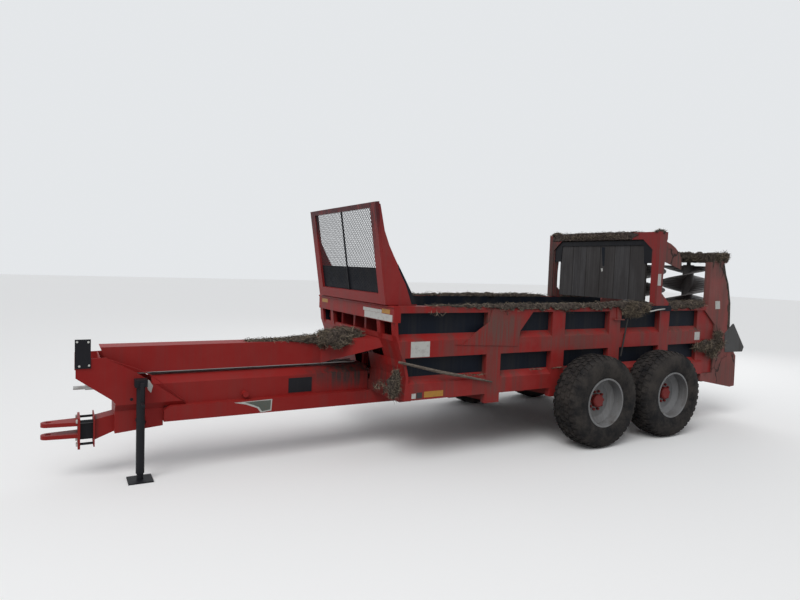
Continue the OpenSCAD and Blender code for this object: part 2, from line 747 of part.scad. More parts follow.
module rear_flaps() station() color(black) both()
  along_y(y_out, y_out + 8) polygon([for (p = [
    [550, -284], [370, -424], [400, -704], [840, -714], [877, -644], [580, -279]
  ]) [rear_x + p[0], top_z + p[1]]]);

hitch_clevis();
hitch_spacer();
hitch_neck();
tongue_nose();
hose_bracket();
cylinder_beam();
tongue_arms();
driveline_tunnel();
tunnel_cover();
hydraulic_lines();
parking_jack();
input_shaft();
main_rails();
cross_members();
floor_plate();  // floor
front_frame();
side_frame_left();
side_frame_right();
side_panel_left();
side_panel_right();
side_hose();
axle_tube_body();  // axle_tube
walking_beams();
tyre_front_left();
tyre_rear_left();
tyre_front_right();
tyre_rear_right();
rim_front_left();
rim_rear_left();
rim_front_right();
rim_rear_right();
hub_front_left();
hub_rear_left();
hub_front_right();
hub_rear_right();
push_gate_frame();
push_gate_panel();
push_gate_screen();
cylinder_barrel();
cylinder_stage();
cylinder_rod();
endgate_frame();
endgate_boards();
endgate_head();
hood_plates();
beater_sides();
beater_top_beam();
beater_left();
beater_right();
beater_gearbox();
rear_flaps();
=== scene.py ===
"""Looks of the box manure spreader: faded red paint, black sheet, muddy tyres, dry manure and straw.

Places are given as stations: metres behind the front plane of the load box, to the machine's right, and up.
"""
import math
import bpy
import numpy as np
from mathutils import Matrix, Vector


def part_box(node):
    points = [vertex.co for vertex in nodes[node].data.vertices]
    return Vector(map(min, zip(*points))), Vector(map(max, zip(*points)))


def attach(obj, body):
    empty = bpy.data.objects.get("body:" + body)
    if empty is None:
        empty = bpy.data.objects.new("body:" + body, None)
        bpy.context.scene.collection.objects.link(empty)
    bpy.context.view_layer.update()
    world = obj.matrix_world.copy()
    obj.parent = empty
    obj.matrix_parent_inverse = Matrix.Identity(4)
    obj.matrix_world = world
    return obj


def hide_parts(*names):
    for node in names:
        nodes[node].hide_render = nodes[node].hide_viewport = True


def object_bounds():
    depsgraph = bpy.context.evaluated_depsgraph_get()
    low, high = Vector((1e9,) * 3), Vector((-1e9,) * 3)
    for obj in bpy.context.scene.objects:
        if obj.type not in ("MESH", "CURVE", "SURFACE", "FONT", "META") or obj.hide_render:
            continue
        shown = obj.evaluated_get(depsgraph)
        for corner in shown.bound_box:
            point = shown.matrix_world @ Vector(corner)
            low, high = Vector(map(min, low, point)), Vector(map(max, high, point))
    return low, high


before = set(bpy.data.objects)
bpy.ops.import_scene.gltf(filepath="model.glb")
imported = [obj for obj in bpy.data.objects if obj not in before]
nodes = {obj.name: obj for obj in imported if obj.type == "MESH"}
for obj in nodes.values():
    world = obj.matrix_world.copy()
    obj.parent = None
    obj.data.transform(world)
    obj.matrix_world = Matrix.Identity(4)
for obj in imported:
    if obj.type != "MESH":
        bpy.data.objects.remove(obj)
cad_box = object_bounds()

MIDDLE = 1.521  # station of the row frame's origin
TOP = cad_box[1][2] - 0.0005  # straws that lie on the endgate's beam end at the machine's own top


def at(points):
    """Stations to row-frame points: the first column less MIDDLE."""
    points = np.array(points, float)
    points[..., 0] -= MIDDLE
    return points


# Meshes
NO_POINTS = np.zeros((0, 3))  # for a part whose faces use the points of the parts before it


def joined(name, parts, body, material, smooth=False, tones=None):
    """One object from (points, faces) arrays: the points are stacked, and each face array is raised by the
    number of points before it. tones gives each point a number that the straw's material reads."""
    points = np.concatenate([p for p, f in parts])
    points[:, 2] = np.minimum(points[:, 2], TOP)
    starts = np.cumsum([0] + [len(p) for p, f in parts])[:-1]
    faces = [f + s for (p, f), s in zip(parts, starts)]
    counts = np.concatenate([np.full(len(f), f.shape[1]) for f in faces])
    corners = np.concatenate([f.ravel() for f in faces])
    mesh = bpy.data.meshes.new(name)
    mesh.vertices.add(len(points))
    mesh.vertices.foreach_set("co", points.astype(np.float32).ravel())
    mesh.loops.add(len(corners))
    mesh.loops.foreach_set("vertex_index", corners.astype(np.int32))
    mesh.polygons.add(len(counts))
    mesh.polygons.foreach_set("loop_start", (np.cumsum(counts) - counts).astype(np.int32))
    mesh.polygons.foreach_set("use_smooth", smooth & (counts <= 4))
    if tones is not None:
        layer = mesh.attributes.new("tone", "FLOAT", "POINT")
        layer.data.foreach_set("value", tones.astype(np.float32))
    mesh.update(calc_edges=True)
    mesh.validate()
    piece = bpy.data.objects.new(name, mesh)
    bpy.context.scene.collection.objects.link(piece)
    piece.data.materials.append(material)
    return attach(piece, body)


def grid_faces(rows, columns):
    """Quads between the points of a rows x columns grid, whose last column is joined to the first."""
    r, c = np.arange(rows - 1)[:, None], np.arange(columns)[None, :]
    right = (c + 1) % columns
    quads = [r * columns + c, r * columns + right, (r + 1) * columns + right, (r + 1) * columns + c]
    return np.stack(quads, -1).reshape(-1, 4)


def box_part(low, high):
    """The eight corners of a box from its low and high corner, in stations, with its six faces outwards."""
    pick = np.array([[0, 0, 0], [1, 0, 0], [1, 1, 0], [0, 1, 0], [0, 0, 1], [1, 0, 1], [1, 1, 1], [0, 1, 1]])
    points = at(np.where(pick, high, low))
    faces = np.array([[0, 3, 2, 1], [4, 5, 6, 7], [0, 1, 5, 4], [1, 2, 6, 5], [2, 3, 7, 6], [3, 0, 4, 7]])
    return points, faces


def prism_part(outline, low, high, axis=1):
    """The walls and the end faces of an outline that is drawn in two axes and carried along the third."""
    outline = np.asarray(outline, float)
    n = len(outline)
    both = [np.insert(outline, axis, level, axis=1) for level in (low, high)]
    area = (outline[:, 0] * np.roll(outline[:, 1], -1) - np.roll(outline[:, 0], -1) * outline[:, 1]).sum()
    k = np.arange(n)
    walls = np.stack([k, (k + 1) % n, n + (k + 1) % n, n + k], 1)
    ends = np.stack([k[::-1], n + k])
    if (area > 0) == (axis == 1):
        walls, ends = walls[:, ::-1], ends[:, ::-1]
    return [(at(np.concatenate(both)), walls), (NO_POINTS, ends - 2 * n)]


def frames_along(path):
    """At each point of a path: its direction, and two directions square to it that don't turn about it."""
    path = np.asarray(path, float)
    ahead = np.gradient(path, axis=0)
    ahead /= np.linalg.norm(ahead, axis=1)[:, None]
    side = np.cross(ahead, np.where(np.abs(ahead[:1, 2:]) > 0.9, [[1.0, 0, 0]], [[0, 0, 1.0]]))
    side /= np.linalg.norm(side, axis=1)[:, None]
    return ahead, side, np.cross(side, ahead)


def tube_part(path, radius, sides):
    """A circle of the given radius carried along a path, in stations, with a fan at each end."""
    path = at(path)
    ahead, side, up = frames_along(path)
    turn = np.linspace(0, 2 * np.pi, sides, endpoint=False)[None, :, None]
    radius = np.broadcast_to(radius, (len(path),))[:, None, None]
    ring = path[:, None] + radius * (np.cos(turn) * side[:, None] + np.sin(turn) * up[:, None])
    points = np.concatenate([ring.reshape(-1, 3), path[:1], path[-1:]])
    n = len(path) * sides
    k = np.arange(sides)
    fans = [np.stack([np.full(sides, n), k, (k + 1) % sides], 1),
            np.stack([np.full(sides, n + 1), n - sides + (k + 1) % sides, n - sides + k], 1)]
    quads = grid_faces(len(path), sides)[:, ::-1]
    faces = np.concatenate([quads, *[np.concatenate([f, f[:, 2:]], 1) for f in fans]])
    return points, faces


def smooth_path(points, steps):
    """A curve through the points: each stretch is the cubic blend of its four nearest points."""
    p = np.asarray(points, float)
    p = np.concatenate([2 * p[:1] - p[1:2], p, 2 * p[-1:] - p[-2:-1]])
    t = np.linspace(0, 1, steps, endpoint=False)[None, :, None]
    a, b, c, d = (p[i:len(p) - 3 + i][:, None] for i in range(4))
    run = 2 * b + (c - a) * t + (2 * a - 5 * b + 4 * c - d) * t ** 2 + (3 * b - a - 3 * c + d) * t ** 3
    run = 0.5 * run
    return np.concatenate([run.reshape(-1, p.shape[1]), p[-2:-1]])


def hex_heads(centres, axis, radius, height):
    """Hexagon heads that stand on their centres along an axis: a foot ring, a shoulder and a smaller top."""
    axis = np.asarray(axis, float)
    side = np.cross(axis, [0.3, 0.5, 0.81])
    side /= np.linalg.norm(side)
    up = np.cross(axis, side)
    turn = np.arange(6) * np.pi / 3
    ring = np.cos(turn)[:, None] * side + np.sin(turn)[:, None] * up
    foot = ring * radius
    one = np.concatenate([foot, foot + axis * height * 0.8, foot * 0.86 + axis * height])
    centres = at(centres)
    points = (centres[:, None] + one[None]).reshape(-1, 3)
    walls = grid_faces(3, 6)
    cap = np.array([[12, 13, 14, 15], [12, 15, 16, 17]])
    faces = np.concatenate([walls, cap])[None] + 18 * np.arange(len(centres))[:, None, None]
    return points, faces.reshape(-1, 4)


def waves(points, size, seed):
    """Soft noise from about -1 to 1: a sum of four layers of sine products.

    Each layer's waves are half as long as those of the layer before, and about half as strong."""
    draw = np.random.default_rng(seed)
    total, strength = 0, 1.0
    for k in range(4):
        turn = draw.normal(size=(3, 3))
        turn /= np.linalg.norm(turn, axis=1)[:, None]
        q = points @ turn.T * (2 * np.pi / size) * 2 ** k + draw.uniform(0, 6.28, 3)
        total = total + strength * np.sin(q[..., 0] + 1.3 * np.sin(q[..., 1])) * np.cos(q[..., 2])
        strength *= 0.55
    return total / 1.9


def drape(points, edge, depth, seed):
    """Lowers what lies beyond an outer edge in Y, the further out the lower, and draws it in a little.

    The depth that it reaches is made ragged by noise along X."""
    fall_width, draw_from, draw_share = 0.03, 0.012, 0.6
    out = np.sign(edge) * points[..., 1] - abs(edge)
    along = points * [1, 0, 0]
    ragged = np.clip(0.55 + 0.75 * waves(along, 0.30, seed) + 0.35 * waves(along, 0.07, seed + 1), 0.05, 1.5)
    points[..., 2] -= np.clip(out / fall_width, 0, 1) ** 0.7 * depth * ragged
    points[..., 1] -= np.sign(edge) * np.clip(out - draw_from, 0, 1) * draw_share
    return points


def distances(path):
    """How far along a path each of its points lies."""
    return np.r_[0, np.cumsum(np.linalg.norm(np.diff(path, axis=0), axis=1))]


def points_at(s, length, path):
    """The points that lie s along a path, on the straight line between the two nearest of its own points."""
    return np.stack([np.interp(s, length, path[:, k]) for k in range(3)], 1)


def heap_part(path, half_width, height, edge, depth, seed):
    """A ragged pile along a path, in stations: half an ellipse whose size swells and shrinks with noise.

    It is flat below, closes to a point at each end, and hangs to depth where it lies beyond an edge."""
    sides, step, rough = 20, 0.014, 0.45
    path = at(path)
    length = distances(path)
    s = np.linspace(0, length[-1], max(6, int(length[-1] / step)))
    centre = points_at(s, length, path)
    sizes = (np.broadcast_to(size, len(path)) for size in (half_width, height, depth))
    wide, tall, hang = (np.interp(s, length, size) for size in sizes)
    taper = np.sqrt(np.clip(1 - (2 * s / length[-1] - 1) ** 8, 0, 1))
    ahead, side, up = frames_along(centre)
    turn = np.linspace(-0.25, np.pi + 0.25, sides)[None, :]
    lift = np.maximum(np.sin(turn), -0.05)
    grow = 1 + rough * waves(centre, 0.35, seed)[:, None] * np.ones_like(turn)
    near = centre[:, None] + 0.3 * np.cos(turn)[..., None] * side[:, None] * wide[:, None, None]
    grow = grow + 0.5 * rough * waves(near + 3.7 * lift[..., None], 0.12, seed + 1)
    across = (taper * wide)[:, None, None] * (np.cos(turn) * grow)[..., None] * side[:, None]
    upward = (taper * tall)[:, None, None] * (lift * np.clip(grow, 0.15, 2))[..., None] * [0, 0, 1.0]
    ring = centre[:, None] + across + upward
    if edge is not None:
        ring = drape(ring, edge, hang[:, None], seed + 2)
    return ring.reshape(-1, 3), grid_faces(len(s), sides)[:, ::-1]


def bits_part(centres, lengths, thick, seed, lay=0.35):
    """Loose straws: thin three-sided rods with one bend, each in its own direction, mostly lying down."""
    draw = np.random.default_rng(seed)
    n = len(centres)
    heading = draw.uniform(0, 2 * np.pi, n)
    rise = draw.normal(0, lay, n)
    ahead = np.stack([np.cos(heading) * np.cos(rise), np.sin(heading) * np.cos(rise), np.sin(rise)], 1)
    side = np.cross(ahead, [0.1, 0.2, 1.0])
    side /= np.linalg.norm(side, axis=1)[:, None]
    up = np.cross(side, ahead)
    half = ahead * lengths[:, None] / 2
    bend = draw.normal(0, 0.25, n)[:, None] * lengths[:, None] * up
    spine = np.stack([centres - half, centres + bend * 0.5, centres + half], 1)
    turn = (np.arange(3) * 2 * np.pi / 3)[:, None]
    ring = np.cos(turn) * side[:, None, None] + np.sin(turn) * up[:, None, None]
    width = thick * draw.uniform(0.5, 1.3, n)[:, None] * [0.5, 1, 0.35]
    points = (spine[:, :, None] + width[:, :, None, None] * ring).reshape(-1, 3)
    one = grid_faces(3, 3)[:, ::-1]
    caps = np.array([[0, 1, 2, 2], [8, 7, 6, 6]])
    faces = (np.concatenate([one, caps])[None] + 9 * np.arange(n)[:, None, None]).reshape(-1, 4)
    return points, faces, np.repeat(draw.uniform(0, 1, n), 9)


def joined_mixed(name, part, body, material, smooth=False, tones=None):
    """joined() for one part of quads, in which a quad whose last two corners are the same is a triangle."""
    points, faces = part
    flat = faces[:, 2] == faces[:, 3]
    parts = [(points, faces[~flat]), (NO_POINTS, faces[flat][:, :3] - len(points))]
    return joined(name, parts, body, material, smooth, tones)


# Shader groups and materials
class Graph:
    """Adds nodes to a tree in short lines: inputs that are sockets are linked, and other inputs are set."""

    def __init__(self, tree):
        self.tree = tree

    def add(self, kind, inputs=None, **settings):
        """A node of a kind, with its inputs by number or name."""
        node = self.tree.nodes.new("ShaderNode" + kind)
        for key, value in settings.items():
            setattr(node, key, value)
        for key, value in (inputs or {}).items():
            if isinstance(value, bpy.types.NodeSocket):
                self.tree.links.new(value, node.inputs[key])
            else:
                node.inputs[key].default_value = value
        return node

    def math(self, operation, a, b=0.0, clamp=False):
        """The result of one operation on two numbers."""
        return self.add("Math", {0: a, 1: b}, operation=operation, use_clamp=clamp).outputs[0]

    def vector(self, operation, a, b):
        """The result of one operation on two vectors."""
        return self.add("VectorMath", {0: a, 1: b}, operation=operation).outputs[0]

    def mix(self, share, a, b):
        """Colour a, with a share of colour b."""
        return self.add("Mix", {0: share, 6: a, 7: b}, data_type="RGBA").outputs[2]

    def noise(self, where, scale, detail, rough, stretch=None):
        """Soft noise from 0 to 1; stretch is a scale for each axis, larger where the marks are narrower."""
        if stretch:
            where = self.add("Mapping", {0: where, 3: stretch}).outputs[0]
        return self.add("TexNoise", {0: where, 2: scale, 3: detail, 4: rough}).outputs[0]

    def ramp(self, value, low, high):
        """0 below low, 1 above high, and smooth between."""
        node = self.add("MapRange", {0: value, 1: low, 2: high}, interpolation_type="SMOOTHSTEP")
        return node.outputs[0]


def new_group(name, inputs, outputs):
    """An empty shader group: (name, kind, default) for each input and (name, kind) for each output."""
    tree = bpy.data.node_groups.new(name, "ShaderNodeTree")
    for label, kind, value in inputs:
        socket = tree.interface.new_socket(name=label, in_out="INPUT", socket_type="NodeSocket" + kind)
        if value is not None:
            socket.default_value = value
    for label, kind in outputs:
        tree.interface.new_socket(name=label, in_out="OUTPUT", socket_type="NodeSocket" + kind)
    given = tree.nodes.new("NodeGroupInput").outputs
    return tree, Graph(tree), given, tree.nodes.new("NodeGroupOutput").inputs


def make_mud():
    """Where dried mud lies: noise, raised towards the ground, towards the rear and on faces that look up."""
    tree, g, given, out = new_group(
        "dried_mud",
        [("Position", "Vector", None), ("Amount", "Float", 0.3), ("Ground Rise", "Float", 0.0),
         ("Rear Rise", "Float", 0.0), ("Top Rise", "Float", 0.0), ("Scale", "Float", 3.0)],
        [("Mask", "Float"), ("Tone", "Float"), ("Height", "Float")])
    xyz = g.add("SeparateXYZ", {0: given["Position"]}).outputs
    low = g.ramp(xyz[2], 1.5, 0.2)
    rear = g.ramp(xyz[0], -1.0, 4.2)
    facing = g.add("SeparateXYZ", {0: g.add("NewGeometry").outputs["Normal"]}).outputs[2]
    up = g.ramp(facing, 0.3, 0.95)
    broad = g.noise(given["Position"], given["Scale"], 6.0, 0.62)
    fine = g.noise(given["Position"], g.math("MULTIPLY", given["Scale"], 9.0), 4.0, 0.6)
    total = g.math("ADD", given["Amount"], g.math("MULTIPLY", low, given["Ground Rise"]))
    total = g.math("ADD", total, g.math("MULTIPLY", rear, given["Rear Rise"]))
    total = g.math("ADD", total, g.math("MULTIPLY", up, given["Top Rise"]))
    level = g.math("ADD", g.math("MULTIPLY", broad, 0.72), g.math("MULTIPLY", fine, 0.28))
    edge = g.math("SUBTRACT", 0.86, g.math("MULTIPLY", total, 0.55))
    mask = g.ramp(level, g.math("SUBTRACT", edge, 0.10), g.math("ADD", edge, 0.06))
    g.tree.links.new(mask, out["Mask"])
    g.tree.links.new(fine, out["Tone"])
    g.tree.links.new(g.math("MULTIPLY", mask, fine), out["Height"])
    return tree


def make_weathering():
    """Old paint: broad sun fading, soft rain streaks that run down, and small chips where two noises meet."""
    tree, g, given, out = new_group(
        "old_paint",
        [("Position", "Vector", None), ("Fresh", "Color", (0.5, 0.05, 0.04, 1)),
         ("Faded", "Color", (0.6, 0.2, 0.17, 1)), ("Stain", "Color", (0.12, 0.07, 0.055, 1)),
         ("Streaks", "Float", 0.4), ("Chips", "Float", 0.2)],
        [("Color", "Color"), ("Chip Mask", "Float")])
    broad = g.noise(given["Position"], 0.9, 3.0, 0.5)
    cloudy = g.noise(given["Position"], 6.0, 5.0, 0.6)
    streak = g.noise(given["Position"], 1.0, 3.0, 0.55, stretch=(7.0, 7.0, 0.55))
    hair = g.noise(given["Position"], 1.0, 3.0, 0.55, stretch=(45.0, 45.0, 1.3))
    fade = g.math("ADD", g.math("MULTIPLY", broad, 0.6), g.math("MULTIPLY", cloudy, 0.4))
    fade = g.ramp(fade, 0.35, 0.68)
    color = g.mix(g.math("MULTIPLY", fade, 0.55), given["Fresh"], given["Faded"])
    run = g.math("ADD", g.math("MULTIPLY", streak, 0.7), g.math("MULTIPLY", hair, 0.3))
    lines = g.math("MULTIPLY", g.ramp(run, 0.42, 0.66), given["Streaks"])
    color = g.mix(lines, color, given["Stain"])
    speck = g.noise(given["Position"], 34.0, 6.0, 0.7)
    patch = g.noise(given["Position"], 3.3, 3.0, 0.6)
    chip = g.ramp(g.math("ADD", g.math("MULTIPLY", speck, 0.7), g.math("MULTIPLY", patch, 0.5)), 0.80, 0.83)
    g.tree.links.new(color, out["Color"])
    g.tree.links.new(g.math("MULTIPLY", chip, given["Chips"], clamp=True), out["Chip Mask"])
    return tree


MUD_GROUP = make_mud()
PAINT_GROUP = make_weathering()
MUD_DARK, MUD_PALE, MUD_ROUGHNESS = (0.032, 0.025, 0.021, 1), (0.105, 0.082, 0.066, 1), 0.83
FINE_GRAIN = 60.0  # scale of the noise that roughens a plain surface


def placed(graph, group, **values):
    """One use of a shader group, with its own values on its inputs."""
    node = graph.tree.nodes.new("ShaderNodeGroup")
    node.node_tree = group
    for key, value in values.items():
        socket = node.inputs[key.replace("_", " ")]
        if isinstance(value, bpy.types.NodeSocket):
            graph.tree.links.new(value, socket)
        else:
            socket.default_value = value
    return node.outputs


def new_material(name, **shader):
    """A material with one Principled shader, whose plain values are the keywords.

    Gives the material, its graph, the shader's inputs and the position on the object."""
    material = bpy.data.materials.new(name)
    material.use_nodes = True
    graph = Graph(material.node_tree)
    bsdf = material.node_tree.nodes["Principled BSDF"]
    for key, value in shader.items():
        bsdf.inputs[key.replace("_", " ")].default_value = value
    return material, graph, bsdf.inputs, graph.add("TexCoord").outputs["Object"]


def finish_surface(g, shader, where, color, mud, roughness, bump=0.25, grain=None):
    """Lays mud over a clean colour, and takes roughness and bump from the mud and a fine grain."""
    tint = g.mix(mud["Tone"], MUD_DARK, MUD_PALE)
    g.tree.links.new(g.mix(mud["Mask"], color, tint), shader["Base Color"])
    fine = grain if grain is not None else g.noise(where, FINE_GRAIN, 4.0, 0.6)
    rough = g.math("ADD", roughness, g.math("MULTIPLY", fine, 0.18))
    rough = g.math("ADD", rough, g.math("MULTIPLY", mud["Mask"], MUD_ROUGHNESS - roughness), clamp=True)
    g.tree.links.new(rough, shader["Roughness"])
    height = g.math("ADD", g.math("MULTIPLY", fine, 0.12), mud["Height"])
    normal = g.add("Bump", {"Strength": bump, "Distance": 0.01, "Height": height}).outputs[0]
    g.tree.links.new(normal, shader["Normal"])


def both_sides(patches):
    """Each patch, and its mirror image on the other side of the machine."""
    return [[x, side * y, *rest] for x, y, *rest in patches for side in (-1, 1)]


def patch_mask(g, where, patches):
    """How strongly the patches lie on a place, each with its strength in the middle, fading out with a ragged
    edge; most patches are dirt, and on the gate and the endgate's far post they are painted shade.

    A patch is [station, side, height, half length, half width, half height, strength]."""
    wobble = g.vector("SUBTRACT", g.add("TexNoise", {0: where, 2: 4.0, 3: 5.0}).outputs[1], (0.5, 0.5, 0.5))
    total = None
    for x, y, z, half_l, half_w, half_h, strength in patches:
        off = g.vector("SUBTRACT", where, (x - MIDDLE, y, z))
        off = g.vector("MULTIPLY", off, (1 / half_l, 1 / half_w, 1 / half_h))
        off = g.vector("ADD", off, wobble)
        near = g.ramp(g.add("VectorMath", {0: off}, operation="LENGTH").outputs["Value"], 1.2, 0.3)
        near = g.math("MULTIPLY", near, strength)
        total = near if total is None else g.math("MAXIMUM", total, near)
    return total


def crack_mask(g, where):
    """Where dried dirt has split: thin lines between the cells of a bent cell pattern."""
    bend = g.vector("MULTIPLY", g.add("TexNoise", {0: where, 2: 9.0, 3: 3.0}).outputs[1], (0.14, 0.14, 0.14))
    bent = g.vector("ADD", where, bend)
    cells = g.add("TexVoronoi", {"Vector": bent, "Scale": 2.4}, feature="DISTANCE_TO_EDGE")
    return g.ramp(cells.outputs["Distance"], 0.036, 0.008)


DARK_DIRT, CRACK_DARK = (0.045, 0.028, 0.026, 1), (0.02, 0.013, 0.011, 1)


def painted(name, fresh, faded, stain=(0.12, 0.07, 0.055, 1), streaks=0.35, chips=0.7,
            under=(0.05, 0.035, 0.03, 1), rough=0.42, bump=0.25, gloss=0.25,
            patches=(), dust=DARK_DIRT, cracked=False, **mud):
    """Weathered paint over a dark underside, with mud on top: the last keywords are the mud group's values.

    In its patches the paint is dusty, streaked and perhaps cracked, and the mud is thicker; the patches of
    the gate and of the endgate's far post are painted shade in a dark colour."""
    material, g, shader, where = new_material(name, Specular_IOR_Level=gloss)
    old = placed(g, PAINT_GROUP, Position=where, Fresh=fresh, Faded=faded, Stain=stain,
                 Streaks=streaks, Chips=chips)
    color = g.mix(old["Chip Mask"], old["Color"], under)
    if patches:
        soiled_and_shaded = patch_mask(g, where, patches)
        run = g.ramp(g.noise(where, 1.0, 4.0, 0.6, stretch=(30.0, 30.0, 1.6)), 0.38, 0.60)
        share = g.math("MULTIPLY", soiled_and_shaded, g.math("ADD", g.math("MULTIPLY", run, 0.6), 0.4))
        # The patch colour is dust and dirt, and on the gate and the endgate's far post it is painted shade.
        color = g.mix(share, color, dust)
        if cracked:
            split = g.math("MULTIPLY", crack_mask(g, where), g.ramp(soiled_and_shaded, 0.0, 0.5))
            color = g.mix(split, color, CRACK_DARK)
        mud["Amount"] = g.math("ADD", mud["Amount"], g.math("MULTIPLY", soiled_and_shaded, 0.22))
    dirt = placed(g, MUD_GROUP, Position=where, **mud)
    finish_surface(g, shader, where, color, dirt, rough, bump=bump)
    return material


# Red paint, by where it is: each place has faded and gathered dirt in its own way, and the gate and the
# endgate's far post carry painted shade in their patches
RED, RED_FADED, DUSTY = (0.25, 0.008, 0.007, 1), (0.27, 0.022, 0.018, 1), (0.13, 0.042, 0.036, 1)
red_front = painted(
    "red_paint_front", RED, RED_FADED, DUSTY, streaks=0.22, chips=0.6,
    patches=[[-0.05, -0.20, 0.90, 0.55, 0.35, 0.24, 1.0], [0.0, -0.45, 0.62, 0.18, 0.3, 0.10, 0.8]],
    Amount=0.04, Ground_Rise=0.08, Top_Rise=0.16, Scale=2.4)
# The gate's patch is painted shade: it darkens the whole leaning frame, and its dust colour is a dark shade
# red.
red_gate = painted(
    "red_paint_gate", (0.24, 0.013, 0.013, 1), (0.26, 0.040, 0.036, 1), DUSTY, chips=0.5,
    patches=[[-0.22, 0, 2.80, 0.17, 1.9, 1.05, 1.4]], dust=(0.055, 0.009, 0.012, 1),
    Amount=0.0, Top_Rise=0.2, Scale=2.4)
red_side = painted(
    "red_paint_side", (0.26, 0.009, 0.008, 1), (0.29, 0.046, 0.040, 1), DUSTY, streaks=0.75,
    patches=[
        [1.36, -1.03, 1.44, 0.46, 0.3, 0.32, 1.0], [1.33, -1.03, 0.95, 0.22, 0.3, 0.45, 0.75],
        [2.60, -1.03, 1.28, 0.70, 0.3, 0.16, 0.7], [3.60, -1.03, 1.55, 0.50, 0.3, 0.20, 0.8],
        [4.70, -1.03, 1.30, 0.60, 0.3, 0.25, 0.7], [0.90, -1.03, 1.24, 0.35, 0.3, 0.10, 0.35],
        [2.60, 1.03, 1.40, 1.60, 0.3, 0.30, 0.7]],
    dust=(0.125, 0.056, 0.046, 1), Amount=0.08, Ground_Rise=0.04, Rear_Rise=0.12, Top_Rise=0.22, Scale=2.2)
red_wall = painted(
    "red_paint_wall", RED, RED_FADED, DUSTY, streaks=0.6,
    patches=both_sides([[0.0, 0.55, 0.80, 0.4, 0.50, 0.30, 0.95]]), Amount=0.06, Top_Rise=0.2, Scale=2.4)
red_endgate = painted(
    "red_paint_endgate", (0.25, 0.020, 0.020, 1), (0.20, 0.046, 0.042, 1), (0.09, 0.05, 0.042, 1),
    streaks=0.7,
    # First patch: dust and mud on the beam. Second patch: painted shade that darkens the far post, in the
    # same dark colour.
    patches=[[4.12, 0.12, 2.66, 0.3, 1.00, 0.20, 1.0], [4.12, 0.98, 2.05, 0.3, 0.3, 0.80, 1.5]],
    dust=(0.062, 0.034, 0.030, 1), Amount=0.08, Top_Rise=0.5, Scale=3.0)
red_rear = painted(
    "red_paint_rear", (0.24, 0.060, 0.054, 1), (0.26, 0.110, 0.100, 1), (0.10, 0.07, 0.06, 1), streaks=0.7,
    patches=[[5.55, -1.0, 2.30, 0.35, 0.2, 0.22, 1.0], [5.55, 1.0, 2.30, 0.35, 0.2, 0.25, 1.0]] + both_sides([
        [5.30, 1.03, 1.10, 0.45, 0.3, 0.30, 0.95], [4.72, 0.9, 2.30, 0.50, 0.3, 0.35, 1.0],
        [5.85, 1.0, 0.70, 0.6, 0.3, 0.35, 0.6]]),
    dust=(0.090, 0.062, 0.053, 1), cracked=True, rough=0.65,
    Amount=0.12, Rear_Rise=0.04, Top_Rise=0.6, Scale=2.4)
red_under = painted(
    "red_paint_under", (0.22, 0.018, 0.016, 1), (0.22, 0.045, 0.038, 1), DUSTY, streaks=0.4,
    Amount=0.24, Ground_Rise=0.25, Top_Rise=0.5, Scale=3.4, rough=0.6)
hub_red = painted(
    "hub_red_paint", (0.20, 0.016, 0.015, 1), (0.22, 0.035, 0.030, 1), DUSTY, streaks=0.2,
    Amount=0.16, Scale=9.0)
rim_grey = painted(
    "rim_grey_paint", (0.15, 0.152, 0.155, 1), (0.24, 0.24, 0.24, 1), (0.07, 0.06, 0.05, 1), streaks=0.45,
    chips=0.4, under=(0.08, 0.055, 0.045, 1), rough=0.34, gloss=0.5, Amount=0.22, Ground_Rise=0.16, Scale=6.0)

# Black paint, sheet and rubber; the black sheet is also laid in holes and a slot as painted shade
DUST_ON_BLACK = (0.026, 0.025, 0.024, 1)
black_paint = painted(
    "black_paint", (0.007, 0.007, 0.010, 1), (0.015, 0.016, 0.019, 1), DUST_ON_BLACK, streaks=0.3, chips=0.5,
    gloss=0.2, under=(0.10, 0.06, 0.045, 1), rough=0.45, Amount=0.06, Top_Rise=0.3, Scale=4.0)
black_sheet_and_shade = painted(
    "black_poly_sheet_and_shade", (0.006, 0.009, 0.016, 1), (0.012, 0.016, 0.024, 1), DUST_ON_BLACK, streaks=0.5,
    chips=0.0, rough=0.5, gloss=0.12, bump=0.12,
    Amount=0.0, Rear_Rise=0.04, Ground_Rise=0.05, Top_Rise=0.5, Scale=2.0)
load_sheet = painted(
    "load_floor_sheet", (0.012, 0.014, 0.018, 1), (0.032, 0.030, 0.028, 1), DUST_ON_BLACK, streaks=0.3,
    chips=0.0, rough=0.55, gloss=0.2, bump=0.3,
    Amount=0.40, Rear_Rise=0.3, Top_Rise=0.45, Scale=2.6)
flap_rubber = painted(
    "rubber_flap", (0.090, 0.090, 0.090, 1), (0.14, 0.138, 0.135, 1), (0.06, 0.05, 0.045, 1), streaks=0.6,
    chips=0.0, rough=0.75, gloss=0.15, Amount=0.16, Scale=5.0)
hose_black = painted(
    "hose_rubber", (0.018, 0.018, 0.018, 1), (0.05, 0.048, 0.045, 1), streaks=0.1, chips=0.0, rough=0.55,
    Amount=0.2, Scale=9.0)


def make_steel(name, tone, rough, **mud):
    """Bare steel with fine drawn lines and brown stains."""
    material, g, shader, where = new_material(name, Metallic=0.85)
    lines = g.noise(where, 1.0, 5.0, 0.6, stretch=(4.0, 300.0, 300.0))
    stain = g.ramp(g.noise(where, 7.0, 5.0, 0.65), 0.52, 0.75)
    color = g.mix(lines, tuple(c * 0.75 for c in tone[:3]) + (1,), tone)
    color = g.mix(g.math("MULTIPLY", stain, 0.6), color, (0.14, 0.075, 0.05, 1))
    dirt = placed(g, MUD_GROUP, Position=where, **mud)
    finish_surface(g, shader, where, color, dirt, rough, bump=0.12, grain=lines)
    return material


